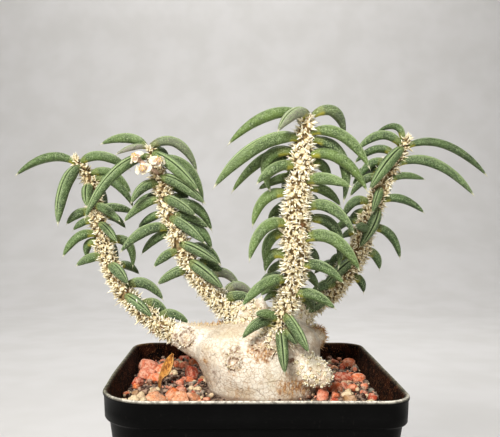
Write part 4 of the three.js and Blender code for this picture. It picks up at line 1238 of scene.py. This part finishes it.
def ball(subdivisions):
    shape = bmesh.new()
    bmesh.ops.create_icosphere(shape, subdivisions=subdivisions, radius=1)
    points = np.array([v.co[:] for v in shape.verts])
    faces = np.array([[v.index for v in f.verts] for f in shape.faces])
    shape.free()
    return points, faces


def chipped(points, planes, chance):
    """A ball cut by random planes, which leaves flat faces with worn edges."""
    points = points.copy()
    for _ in range(planes):
        normal = unit(chance.normal(0, 1, 3))
        excess = np.maximum(points @ normal - chance.uniform(0.55, 0.82), 0)
        points -= normal * (excess * 0.92)[:, None]
    return points / np.abs(points).max(0)


def turned(points, turn, tilt):
    spin = np.array([
        [math.cos(turn), -math.sin(turn), 0], [math.sin(turn), math.cos(turn), 0], [0, 0, 1],
    ])
    lean = np.array([
        [1, 0, 0], [0, math.cos(tilt), -math.sin(tilt)], [0, math.sin(tilt), math.cos(tilt)],
    ])
    return points @ (spin @ lean).T


def dressing_height_at(y):
    return DRESSING_TOP + DRESSING_SLOPE * y / (POT_SIDE / 2)


def bed_height(x, y):
    """The dressing's surface between the stones."""
    place = Vector((x / 5, y / 5, 0.3))
    fine = Vector((x / 1.6, y / 1.6, 4.1))
    return dressing_height_at(y) - 0.5 + 0.75 * noise.noise(place) + 0.4 * noise.noise(fine)


def kind_value(kind):
    """The middle of a kind's band in the material's ramp."""
    names = list(STONE_KINDS)
    return (names.index(kind) + 0.5) / len(names)


def add_stone(skin, points, faces, place, kind, tone):
    skin.add(pressed_in(points + place), [faces], kind=kind_value(kind), tone=tone)


def bed_skin():
    """The dressing's bed, a closed slab with a rough top."""
    skin = Skin("kind", "tone")
    edge = square_ring(filling_side_at(DRESSING_TOP), FILLING_TIGHTNESS, 0, 10)
    lower = square_ring(filling_side_at(SOIL_TOP), FILLING_TIGHTNESS, SOIL_TOP + GAP, 10)
    middle = np.array([*BED_MIDDLE, 0], float)
    rings = [lower]
    for share in np.linspace(1, 0.3, BED_RINGS):
        ring = middle + (edge - middle) * share
        ring[:, 2] = [bed_height(x, y) for x, y in ring[:, :2]]
        ring[:, 2] -= 0.7 * smoothstep(share, 0.94, 1)
        rings.append(ring)
    tips = [[*BED_MIDDLE, SOIL_TOP + GAP], [*BED_MIDDLE, DRESSING_TOP]]
    points = pressed_in(np.vstack([*rings, tips]))
    # The bed is near black: partly the dark soil under the grit and partly painted shade in the gaps
    # between the stones
    skin.add(points, tube_faces(len(rings), len(edge)), kind=kind_value("dark"), tone=0.5)
    return skin


def in_filling(x, y, margin):
    """Whether a stone with this margin lies in the filling, clear of the trunk."""
    half = filling_side_at(DRESSING_TOP) / 2 - margin
    quarter = QUARTER_SIGNS.index([1 if x > 0 else -1, 1 if y > 0 else -1])
    corner = POT_CORNERS[quarter] - FILLING_TIGHTNESS
    over = np.hypot(max(abs(x) - half + corner, 0), max(abs(y) - half + corner, 0))
    middle_x, middle_y, half_x, half_y = TRUNK_FOOT
    trunk = ((x - middle_x) / (half_x + 0.6 * margin)) ** 2
    trunk += ((y - middle_y) / (half_y + 0.6 * margin)) ** 2
    left, right, rear = CLEAR_PLACE
    clear_place = margin > CLEAR_MARGIN and left < x < right and y < rear
    return over < corner and trunk > 1 and not clear_place


def stones_skin():
    """The stones that show one by one, and others of their kind all round."""
    skin = Skin("kind", "tone")
    chance = np.random.default_rng(5)
    large_ball, small_ball = ball(4), ball(3)
    rows = list(STONES)
    while len(rows) < len(STONES) + SCATTERED_STONES:
        x, y = chance.uniform(-40, 40, 2)
        size = 3 + 4 * chance.uniform() ** 1.8
        clear = all(math.hypot(x - row[0], y - row[1]) > 0.42 * (size + row[3]) for row in rows)
        if in_filling(x, y, 0.4 * size) and clear:
            kind = LARGE_KINDS[int(chance.integers(len(LARGE_KINDS)))]
            wide, high = size * chance.uniform(0.7, 0.95), size * chance.uniform(0.6, 0.85)
            rows.append([x, y, 0.3, size, wide, high, chance.uniform(0, math.pi), kind])
    for index, (x, y, rise, length, width, height, turn, kind) in enumerate(rows):
        points, faces = large_ball if length > 4.4 else small_ball
        shape = chipped(points, STONE_PLANES, chance)
        rough = value_noise(shape * length, 1.5, 0.7 * index, 3)
        pits = value_noise(shape * length, 0.6, 3 + 0.3 * index, 2)
        shape = shape * (1 + 0.09 * rough + 0.035 * pits)[:, None]
        shape = turned(shape * np.array([length, width, height]) / 2, turn, chance.uniform(-0.2, 0.2))
        place = np.array([x, y, dressing_height_at(y) + rise])
        add_stone(skin, shape, faces, place, kind, chance.uniform(0, 1))
    return skin, rows


def crumbs_skin(stones):
    """Loose crumbs between the stones, and rusty grains that cling in the corners of the pot."""
    skin = Skin("kind", "tone")
    chance = np.random.default_rng(17)
    points, faces = ball(2)
    shapes = [chipped(points, 7, chance) for _ in range(8)]
    footprints = np.array([[row[0], row[1], 0.36 * row[3]] for row in stones])
    made = 0
    while made < CRUMBS:
        x, y = chance.uniform(-41, 41, 2)
        size = 0.7 + 2.0 * chance.uniform() ** 2.2
        if not in_filling(x, y, 0.4 * size):
            continue
        if np.any(np.hypot(footprints[:, 0] - x, footprints[:, 1] - y) < footprints[:, 2]):
            continue
        sizes = size * np.array([1, chance.uniform(0.65, 1), chance.uniform(0.55, 0.9)]) / 2
        shape = shapes[made % len(shapes)] * sizes
        shape = turned(shape, chance.uniform(0, 2 * math.pi), chance.uniform(-0.6, 0.6))
        kind = CRUMB_KINDS[int(chance.integers(len(CRUMB_KINDS)))]
        place = np.array([x, y, bed_height(x, y) + 0.2 * size + 0.25 * chance.uniform()])
        add_stone(skin, shape, faces, place, kind, chance.uniform(0, 1))
        made += 1
    for _ in range(CORNER_CRUMBS):
        sign = -1 if chance.uniform() < 0.5 else 1
        height = DRESSING_TOP - 0.5 + 5.6 * chance.uniform() ** 1.5
        corner = POT_CORNERS[2 if sign < 0 else 3] - 2.4
        half = pot_inner_side_at(height) / 2 + 0.3 * max(0, height - 73)
        angle = chance.uniform(0.05, 1.5)
        size = chance.uniform(0.5, 1.3)
        reach = corner - 0.3 * size
        x = sign * (half - corner + reach * math.cos(angle))
        y = -(half - corner + reach * math.sin(angle))
        shape = shapes[int(chance.integers(len(shapes)))] * size / 2
        kind = CORNER_KINDS[int(chance.integers(len(CORNER_KINDS)))]
        add_stone(skin, shape, faces, [x, y, height], kind, 0.3)
    return skin


# Dead leaf and flower heads


def dry_leaf_skin():
    """A dead leaf, dry and curled, that stands in the grit on its stalk."""
    skin = Skin("share", "edge")
    rows = np.array(DRY_LEAF_ROWS, float)
    share = np.linspace(0, 1, 42)
    line = smooth_line(rows[:, :3], share)
    half = np.interp(share, np.linspace(0, 1, len(rows)), rows[:, 3])
    half = np.maximum(np.convolve(np.pad(half, 3, mode="edge"), np.ones(7) / 7, "valid"), 0.22)
    along = unit(np.gradient(line, axis=0))
    across = unit(DRY_LEAF_ACROSS - along * (along @ DRY_LEAF_ACROSS)[:, None])
    normal = np.cross(along, across)
    place = np.linspace(-1, 1, 15)
    crumple = value_noise(np.array([[s * 12, p * 3, 0] for s in share for p in place]), 2.2, 1.0)
    crumple = crumple.reshape(len(share), len(place)) * 0.5
    curl = np.abs(place) ** 1.7 * 0.75 + 0.25 * np.sin(place * 5)
    lift = curl[None, :] * half[:, None] * 0.55 + crumple * (half[:, None] / 2.5)
    middle = (
        line[:, None]
        + across[:, None] * (half[:, None] * place)[..., None]
        + normal[:, None] * lift[..., None]
    )
    front = middle - normal[:, None] * DRY_LEAF_HALF
    back = middle + normal[:, None] * DRY_LEAF_HALF
    rings = np.concatenate([front, back[:, ::-1]], axis=1)
    sides = rings.shape[1]
    edge = np.concatenate([np.abs(place), np.abs(place[::-1])])
    skin.add_tube(
        rings, [rings[0].mean(0), rings[-1].mean(0)],
        share=with_ends(np.repeat(share, sides), 0, 1),
        edge=with_ends(np.tile(edge, len(share)), 0, 0),
    )
    return skin


def add_bract(skin, centre, facing, across, reach, chance):
    """A small cupped bract with a wavy edge."""
    over = np.cross(facing, across)
    turn = (np.arange(BRACT_SIDES) / BRACT_SIDES * 2 * math.pi)[:, None]
    wave = 1 + 0.1 * np.sin(3 * turn + chance.uniform(0, 6)) + 0.05 * np.sin(7 * turn)
    spread = across * np.cos(turn) + over * np.sin(turn) * 0.92
    shares = np.linspace(0.12, 1, BRACT_RINGS)
    shares = np.append(shares, shares[::-1])
    layers = []
    for row, share in enumerate(shares):
        cup = 0.5 * share**2 + 0.1 * share * np.sin(3 * turn + 1)
        thick = (0.1 if row >= BRACT_RINGS else -0.1) * (1 - 0.4 * share)
        layers.append(centre + spread * (reach * share * wave) + facing * (reach * cup + thick))
    skin.add_tube(
        layers, [centre - facing * 0.1, centre + facing * 0.1],
        edge=with_ends(np.repeat(shares, BRACT_SIDES), 0, 0), heart=0.0,
    )


def bloom_skin():
    """Three flower heads on short stalks, each a small cup between two large and two small bracts."""
    skin = Skin("edge", "heart")
    chance = np.random.default_rng(23)
    stalk_from, stalk_to = BLOOM_STALK
    add_rod(skin, stalk_from, stalk_to, 0.85, 0.8, 14)
    for middle, direction, length in BLOOM_HEADS:
        facing = unit(np.array(direction, float))
        middle = np.array(middle, float)
        add_rod(skin, stalk_to, middle - facing * 1.0, 0.7, 0.7, 12)
        add_rod(skin, middle - facing * 1.4, middle + facing * 0.8, 0.8, 1.3, 16)
        across = np.array([1, 0, 0.2])
        across = unit(across - facing * (across @ facing))
        over = np.cross(facing, across)
        for turn in (0.0, math.pi, 1.7, 4.6):
            lean = across * math.cos(turn) + over * math.sin(turn)
            small = 1.0 if turn in (0.0, math.pi) else 0.66
            aim = unit(facing + lean * 0.75)
            beside = unit(np.cross(aim, over if small == 1.0 else across))
            place = middle + lean * 1.15 * small + facing * 0.5
            add_bract(skin, place, aim, beside, length * 0.5 * small, chance)
        for step in range(7):
            turn = GOLDEN_TURN * step
            lean = across * math.cos(turn) + over * math.sin(turn)
            start = middle + lean * (0.25 + 0.1 * step) + facing * 1.2
            first = skin.count
            add_rod(skin, start, start + facing * 0.7 + lean * 0.3, 0.22, 0.26, 8)
            skin.values["heart"][-1] = np.ones(skin.count - first)
    return skin


# Materials


def linear(red, green, blue):
    """A display colour, 0 to 255, as the shader's linear colour."""
    shares = [value / 255 for value in (red, green, blue)]
    return (*[s / 12.92 if s <= 0.04045 else ((s + 0.055) / 1.055) ** 2.4 for s in shares], 1.0)


def is_socket(value):
    return isinstance(value, bpy.types.NodeSocket)


class Look:
    """A procedural material; colour is what has been laid on so far. Sizes are in millimetres."""

    def __init__(self, name, **constants):
        self.material = bpy.data.materials.new(name)
        self.material.use_nodes = True
        self.tree = self.material.node_tree
        self.inputs = self.tree.nodes["Principled BSDF"].inputs
        self.place = self.node("TexCoord", "Object", {})
        self.colour = None
        for key, value in constants.items():
            self.inputs[key.replace("_", " ")].default_value = value

    def node(self, kind, output, inputs, **settings):
        """An output of a new node, whose inputs are sockets or constants."""
        node = self.tree.nodes.new("ShaderNode" + kind)
        for key, value in settings.items():
            setattr(node, key, value)
        for key, value in inputs.items():
            if is_socket(value):
                self.tree.links.new(value, node.inputs[key])
            else:
                node.inputs[key].default_value = value
        return node.outputs[output]

    def value(self, name):
        return self.node("Attribute", "Fac", {}, attribute_name=name)

    def noise(self, size, detail=4.0, rough=0.55, warp=0.0, place=None, output="Fac"):
        return self.node("TexNoise", output, {
            "Vector": place or self.place, "Scale": 1 / (size * MM), "Detail": detail,
            "Roughness": rough, "Distortion": warp,
        })

    def cells(self, size, feature="F1", place=None):
        inputs = {"Vector": place or self.place, "Scale": 1 / (size * MM)}
        return self.node("TexVoronoi", "Distance", inputs, feature=feature)

    def math(self, operation, first, second, third=0.0):
        return self.node("Math", 0, {0: first, 1: second, 2: third}, operation=operation)

    def times(self, first, second):
        return self.math("MULTIPLY", first, second)

    def span(self, value, low, high, start=0.0, end=1.0):
        """The value's share between low and high, eased, from start to end."""
        return self.node("MapRange", "Result", {
            "Value": value, "From Min": low, "From Max": high, "To Min": start, "To Max": end,
        }, interpolation_type="SMOOTHSTEP")

    def patches(self, size, low, high, *settings):
        """Where noise of the given size rises from low to high."""
        return self.span(self.noise(size, *settings), low, high)

    def mix(self, share, first, second):
        first, second = (c if is_socket(c) else linear(*c) for c in (first, second))
        return self.node("Mix", 2, {0: share, 6: first, 7: second}, data_type="RGBA")

    def coat(self, colour, share, amount=1.0):
        """Lays a colour on, by the share times the amount."""
        self.colour = self.mix(self.times(share, amount), self.colour, colour)

    def ramp(self, value, colours, steps="LINEAR"):
        """Colours by the value: pairs of place and colour."""
        socket = self.node("ValToRGB", "Color", {"Fac": value})
        band = socket.node.color_ramp
        band.interpolation = steps
        while len(band.elements) < len(colours):
            band.elements.new(0.5)
        for element, (place, colour) in zip(band.elements, colours):
            element.position = place
            element.color = linear(*colour)
        return socket

    def upright(self, share):
        """The place, with what is upright in it drawn out."""
        return self.node("Mapping", "Vector", {"Vector": self.place, "Scale": (1, 1, share)})

    def axis(self, name):
        return self.node("SeparateXYZ", name, {"Vector": self.place})

    def warped(self, reach, size):
        """The place, moved about by noise."""
        drift = self.noise(size, 2.0, 0.5, output="Color")
        inputs = {0: drift, 1: (reach * MM,) * 3, 2: self.place}
        return self.node("VectorMath", 0, inputs, operation="MULTIPLY_ADD")

    def done(self, height=None, depth=0.0, rough=None):
        """The material, with a bump of the given depth for a height of one."""
        self.tree.links.new(self.colour, self.inputs["Base Color"])
        if height:
            bump = self.node("Bump", "Normal", {"Height": height, "Distance": depth * MM})
            self.tree.links.new(bump, self.inputs["Normal"])
        if rough:
            self.tree.links.new(rough, self.inputs["Roughness"])
        return self.material


def leaf_look():
    look = Look("leaf_skin", IOR=1.42, Sheen_Weight=0.22, Sheen_Roughness=0.4, Roughness=0.46)
    look.inputs["Sheen Tint"].default_value = linear(226, 240, 205)
    tone, warm, young, share = map(look.value, ("tone", "warm", "young", "share"))
    out, lip, slit, keel = map(look.value, ("out", "lip", "slit", "keel"))
    blotch = look.patches(3.8, 0.34, 0.66, 3.0)
    drift = look.math("MULTIPLY_ADD", tone, 0.5, look.times(blotch, 0.5))
    # The base greens grow lighter and yellower with the warmth value, which is partly painted light and
    # shade
    dark = look.mix(warm, (16, 34, 18), (42, 60, 26))
    light = look.mix(warm, (52, 82, 48), (104, 124, 60))
    look.colour = look.mix(drift, dark, light)
    # Painted shade and light on the underside: the keel is darker on cool leaves and yellow-green on
    # warm ones, as where light shines through
    look.coat(look.mix(warm, (24, 42, 18), (92, 110, 44)), look.span(keel, 0.35, 1.0), 0.45)
    look.coat((146, 136, 134), young, 0.85)
    mottle = look.patches(1.3, 0.52, 0.66, 4.0, 0.62)
    look.coat((20, 38, 18), mottle, 0.6)
    # Pale granular frost, partly the leaf's own bloom and partly painted highlight, stronger on the
    # upper side than on the keel
    frost_and_highlight = look.patches(0.34, 0.43, 0.64, 3.0, 0.75)
    look.coat((164, 182, 134), look.times(frost_and_highlight, look.span(keel, 0.0, 0.6, 0.64, 0.24)))
    speck = look.times(look.span(look.cells(0.9), 0.3, 0.12), look.patches(1.3, 0.42, 0.58, 2.0))
    look.coat((206, 218, 178), speck, 0.4)
    # The groove's lips are paler: partly the margins' own yellow-green and partly painted highlight
    # along their rounded tops
    look.coat((186, 204, 152), lip, 0.6)
    # The slit is painted dark: painted shade in the groove
    look.coat((20, 36, 18), slit, 0.7)
    foot = look.times(look.span(out, 1.3, 0.3), look.span(keel, 0.0, 0.6, 0.2, 1.0))
    look.coat((174, 166, 58), foot, 0.7)
    look.coat((214, 210, 184), look.span(share, 0.945, 0.99), 0.85)
    relief = look.math("ADD", look.times(frost_and_highlight, 0.5), look.times(blotch, 0.5))
    return look.done(relief, 0.12, look.span(mottle, 0, 1, 0.45, 0.6))


def bristle_look():
    look = Look("stem_bristles", IOR=1.4, Roughness=0.75, Sheen_Weight=0.1)
    pale, scar, tone, dry = map(look.value, ("pale", "scar", "tone", "dry"))
    wander = look.math("MULTIPLY_ADD", look.patches(0.8, 0.3, 0.7, 3.0), 0.2, -0.1)
    # Paleness from dark brown to near white; the dark low end colours the points' roots and the
    # cushions' feet, partly as painted shade
    look.colour = look.ramp(look.math("ADD", pale, wander), [
        (0.0, (66, 50, 28)), (0.25, (134, 112, 74)), (0.5, (204, 188, 148)),
        (0.75, (238, 228, 198)), (1.0, (252, 249, 236)),
    ])
    look.coat(look.mix(tone, (136, 96, 60), (186, 152, 104)), scar, 0.45)
    look.coat((190, 186, 146), look.patches(3.2, 0.56, 0.7, 2.0), 0.2)
    look.coat((152, 86, 58), look.patches(4.5, 0.64, 0.72, 3.0), 0.4)
    husk = look.mix(look.patches(1.2, 0.4, 0.6, 3.0), (164, 108, 56), (228, 196, 144))
    look.coat(husk, dry)
    return look.done(look.noise(0.3, 3.0), 0.08)


def trunk_look():
    look = Look("trunk_bark", IOR=1.4, Roughness=0.7)
    rust, ridge, foot, groove = map(look.value, ("rust", "ridge", "foot", "groove"))
    cloud = look.patches(7.5, 0.34, 0.62, 4.0, 0.6, 0.6)
    look.colour = look.mix(cloud, (212, 196, 172), (236, 228, 212))
    look.coat((200, 198, 164), look.patches(10.0, 0.54, 0.68, 3.0), 0.22)
    look.coat((214, 182, 148), look.patches(4.2, 0.56, 0.7, 4.0, 0.65, 0.8), 0.22)
    scales = look.span(look.cells(1.5, "DISTANCE_TO_EDGE", look.warped(1.6, 1.2)), 0.11, 0.0)
    some = look.span(look.noise(3.0, 3.0), 0.38, 0.58, 0.25, 1.0)
    look.coat((172, 140, 106), look.times(scales, some), 0.55)
    look.coat((190, 160, 126), look.patches(0.55, 0.5, 0.64, 3.0, 0.7), 0.34)
    look.coat((246, 241, 230), look.patches(0.9, 0.54, 0.68, 3.0, 0.7), 0.5)
    cracks = look.span(look.cells(7.5, "DISTANCE_TO_EDGE", look.warped(6.0, 4.0)), 0.014, 0.003)
    cracks = look.times(cracks, look.patches(3.5, 0.48, 0.6, 3.0))
    look.coat((170, 132, 94), cracks, 0.4)
    streak = look.patches(1.9, 0.55, 0.68, 4.0, 0.65, 0.3, look.upright(0.2))
    look.coat((184, 144, 102), look.times(streak, look.span(look.axis("Z"), 0.087, 0.074)), 0.5)
    frayed = look.times(rust, look.patches(0.9, 0.34, 0.62, 4.0, 0.7, 0.4, look.upright(0.5)))
    rusty = look.mix(look.patches(0.7, 0.4, 0.62, 3.0), (146, 96, 52), (206, 164, 112))
    look.coat(rusty, look.span(frayed, 0.02, 0.55), 0.85)
    look.coat((250, 244, 228), ridge, 0.4)
    look.coat((112, 72, 40), look.times(groove, look.patches(0.8, 0.26, 0.46, 3.0, 0.7)))
    # Darker brown toward the foot, where the trunk meets the grit
    darker_at_foot = look.math("MULTIPLY_ADD", look.noise(1.8, 3.0), 0.5, foot)
    look.coat((112, 76, 52), look.span(darker_at_foot, 0.6, 1.25), 0.7)
    height = look.math("MULTIPLY_ADD", look.noise(0.5, 4.0, 0.6), 0.6, look.times(scales, -0.4))
    height = look.math("MULTIPLY_ADD", cracks, -0.8, height)
    return look.done(height, 0.22, look.span(cloud, 0, 1, 0.72, 0.58))


def stone_look():
    look = Look("lava_stone", IOR=1.45, Roughness=0.86)
    places = np.arange(len(STONE_KINDS)) / len(STONE_KINDS)
    bands = list(zip(places, STONE_KINDS.values()))
    look.colour = look.ramp(look.value("kind"), bands, "CONSTANT")
    look.coat((122, 64, 42), look.value("tone"), 0.2)
    pale = look.mix(0.5, look.colour, (255, 226, 200))
    look.coat(pale, look.patches(1.7, 0.42, 0.6, 4.0, 0.65, 0.4), 0.75)
    look.coat((84, 38, 22), look.patches(0.9, 0.52, 0.68, 4.0, 0.7), 0.5)
    pits = look.times(look.span(look.cells(0.55), 0.3, 0.06), look.patches(1.1, 0.44, 0.62, 2.0))
    look.coat((66, 36, 26), pits, 0.7)
    look.coat((244, 214, 186), look.patches(0.35, 0.58, 0.74, 3.0, 0.7), 0.5)
    return look.done(look.math("MULTIPLY_ADD", pits, -0.9, look.noise(0.45, 4.0, 0.7)), 0.3)


def soil_look():
    look = Look("potting_mix", IOR=1.4, Roughness=0.95)
    lumps = look.patches(1.6, 0.36, 0.68, 5.0, 0.7)
    grit = look.span(look.cells(2.6), 0.2, 0.08)
    look.colour = look.mix(lumps, (28, 19, 14), (74, 50, 34))
    look.coat((150, 112, 80), grit, 0.7)
    return look.done(look.math("ADD", lumps, grit), 0.6)


def pot_look():
    look = Look("pot_shell", IOR=1.45, Roughness=0.5, Specular_IOR_Level=0.12)
    inside, lip, y = look.value("inside"), look.value("lip"), look.axis("Y")
    film = look.patches(7, 0.38, 0.7, 4.0, 0.6)
    look.colour = look.mix(look.times(film, 0.5), (2, 2, 2), (7, 7, 7))
    scuff = look.patches(0.8, 0.62, 0.78, 4.0, 0.7, 0, look.upright(0.3))
    look.coat((80, 75, 70), scuff, 0.18)
    wall = look.mix(look.patches(3.2, 0.36, 0.66, 5.0, 0.65), (14, 8, 6), (66, 36, 22))
    grain = look.patches(0.7, 0.54, 0.66, 4.0, 0.7)
    wall = look.mix(look.times(grain, 0.65), wall, (176, 124, 84))
    pits = look.patches(1.2, 0.54, 0.68, 3.0, 0.6)
    look.coat(look.mix(look.times(pits, 0.6), wall, (18, 13, 11)), inside)
    behind = look.span(y, 0.034, 0.044)
    # The lip's top: near white along the front, partly dust and partly painted glint; grey at the sides,
    # tan with golden debris at the back
    dust_and_glint = look.mix(look.span(y, -0.03, -0.044), (142, 140, 122), (226, 220, 206))
    dust_and_glint = look.mix(behind, dust_and_glint, (140, 130, 112))
    gold = look.times(behind, look.patches(8, 0.5, 0.62, 3.0))
    dust_and_glint = look.mix(look.times(gold, 0.8), dust_and_glint, (170, 134, 78))
    worn = look.span(look.patches(1.6, 0.36, 0.62, 4.0, 0.65), 0, 1, 0.45, 1.0)
    look.coat(dust_and_glint, look.times(lip, worn))
    look.coat((104, 72, 48), look.times(lip, look.span(look.cells(1.3), 0.24, 0.1)), 0.4)
    rough = look.span(look.math("ADD", inside, lip), 0, 1, 0.42, 0.85)
    height = look.math("MULTIPLY_ADD", grain, inside, look.times(look.noise(0.4, 3.0), 0.15))
    return look.done(height, 0.25, rough)


def dry_leaf_look():
    look = Look("dead_leaf", IOR=1.4, Roughness=0.6)
    fibre = look.noise(0.5, 4.0, 0.65, 0.2, look.upright(0.25))
    look.colour = look.mix(look.span(fibre, 0.36, 0.64), (128, 76, 26), (206, 148, 72))
    look.coat((236, 196, 132), look.span(look.value("edge"), 0.55, 1.0), 0.5)
    look.coat((116, 72, 34), look.span(look.value("share"), 0.36, 0.16), 0.7)
    look.coat((96, 54, 22), look.patches(1.1, 0.58, 0.7, 3.0), 0.55)
    return look.done(fibre, 0.25)


def flower_look():
    look = Look("flower_bracts", IOR=1.4, Roughness=0.55, Sheen_Weight=0.15)
    veins = look.noise(0.6, 3.0, 0.6)
    look.colour = look.mix(look.span(veins, 0.35, 0.65), (204, 194, 164), (238, 234, 216))
    look.coat((168, 120, 100), look.span(look.value("edge"), 0.7, 0.1), 0.65)
    look.coat((206, 176, 96), look.value("heart"))
    return look.done(veins, 0.1)


def floor_look():
    look = Look("studio_floor", Roughness=0.85, Specular_IOR_Level=0.2)
    look.colour = look.mix(look.patches(60, 0.3, 0.7, 2.0), (216, 214, 211), (222, 220, 218))
    return look.done()


# Studio


def studio_floor():
    """A pale floor that sweeps up behind the part."""
    angles = np.linspace(0, math.pi / 2, 17)
    sweep = [FLOOR_REAR + FLOOR_BEND * np.sin(angles), FLOOR_BEND * (1 - np.cos(angles))]
    profile = [(-FLOOR_HALF, 0.0), *zip(*sweep), (FLOOR_REAR + FLOOR_BEND, FLOOR_TOP)]
    points = [(x, y, z) for x in (-FLOOR_HALF, FLOOR_HALF) for y, z in profile]
    count = len(profile)
    faces = [(low, count + low, count + low + 1, low + 1) for low in range(count - 1)]
    mesh = bpy.data.meshes.new("floor")
    mesh.from_pydata(points, [], faces)
    floor = linked("floor", mesh, floor_look())


def area_light(name, place, aim, size, power, colour=(1, 1, 1)):
    data = bpy.data.lights.new(name, "AREA")
    data.shape = "DISK"
    data.size = size
    data.energy = power
    data.color = colour
    light = bpy.data.objects.new(name, data)
    light.location = place
    light.rotation_euler = (Vector(aim) - Vector(place)).to_track_quat("-Z", "Y").to_euler()
    bpy.context.scene.collection.objects.link(light)


def studio():
    scene = bpy.context.scene
    world = bpy.data.worlds.new("studio")
    world.use_nodes = True
    background = world.node_tree.nodes["Background"]
    background.inputs["Color"].default_value = (0.98, 0.985, 1.0, 1)
    background.inputs["Strength"].default_value = 0.15
    scene.world = world
    scene.view_settings.view_transform = "Standard"
    scene.view_settings.look = "Medium High Contrast"
    middle = (0, 0, 0.1)
    area_light("key", (-0.2, -0.52, 0.45), middle, 0.22, 5.0, (1.0, 0.985, 0.955))
    area_light("fill", (0.25, -0.62, 0.12), middle, 0.4, 1.2, (1.0, 0.99, 0.97))
    area_light("rear", (0.1, 0.5, 0.6), middle, 0.4, 1.0)
    area_light("backdrop", (0, 0.6, 1.2), (0, 1.1, 0.3), 0.6, 6.0)
    studio_floor()


def camera():
    """The photograph's viewpoint: level and square on, at the height of the leaves."""
    data = bpy.data.cameras.new("camera")
    data.sensor_width = 36
    data.lens = 36 * PHOTO_FOCAL / PHOTO_WIDTH
    data.shift_x = (PHOTO_WIDTH / 2 - PHOTO_CENTRE[0]) / PHOTO_WIDTH
    data.shift_y = (PHOTO_CENTRE[1] - PHOTO_HEIGHT / 2) / PHOTO_WIDTH
    data.clip_start = 0.01
    view = bpy.data.objects.new("camera", data)
    view.location = [value * MM for value in CAMERA]
    view.rotation_euler = (math.pi / 2, 0, 0)
    bpy.context.scene.collection.objects.link(view)
    bpy.context.scene.camera = view


# Assembly


def build_pot():
    shell = pot_skin().piece("pot_shell", pot_look(), "pot_plastic", ["pot"])
    cutter = drain_cutter()
    shell.data = applied(shell, "BOOLEAN", operation="DIFFERENCE", solver="EXACT", object=cutter)
    bpy.data.objects.remove(cutter)


def build_trunk(bristle):
    mesh = trunk_mesh()
    trim = trunk_trim(mesh)
    settle("trunk", mesh, trunk_look(), ["caudex"])
    trim.piece("trunk_trim", bristle, "bark")


def build_dressing():
    stone = stone_look()
    bed_skin().piece("grit_bed", stone, "lava_grit", ["top_dressing"])
    stones, rows = stones_skin()
    stones.piece("lava_stones", stone, "lava_grit")
    crumbs_skin(rows).piece("grit_crumbs", stone, "lava_grit")


def build_branches(bristle):
    leaf = leaf_look()
    for name in BRANCHES:
        leaves_of(name).piece(name + "_leaves", leaf, "leaf", [name])
        bristles_of(name).piece(name + "_bristles", bristle, "leaf")


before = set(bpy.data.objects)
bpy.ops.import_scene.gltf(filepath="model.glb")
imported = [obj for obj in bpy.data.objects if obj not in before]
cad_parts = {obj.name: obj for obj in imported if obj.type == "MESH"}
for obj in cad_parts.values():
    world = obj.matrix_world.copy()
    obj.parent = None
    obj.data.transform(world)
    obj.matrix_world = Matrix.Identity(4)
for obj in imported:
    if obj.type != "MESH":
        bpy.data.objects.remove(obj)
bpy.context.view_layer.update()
camera()
studio()
for soil_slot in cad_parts["soil"].material_slots:
    soil_slot.material = soil_look()
build_pot()
build_dressing()
bristle = bristle_look()
build_trunk(bristle)
build_branches(bristle)
dry_leaf_skin().piece("dead_leaf", dry_leaf_look(), "dead_leaf", ["dry_leaf"])
bloom_skin().piece("flower_heads", flower_look(), "flower", ["bloom"])
bpy.context.view_layer.update()
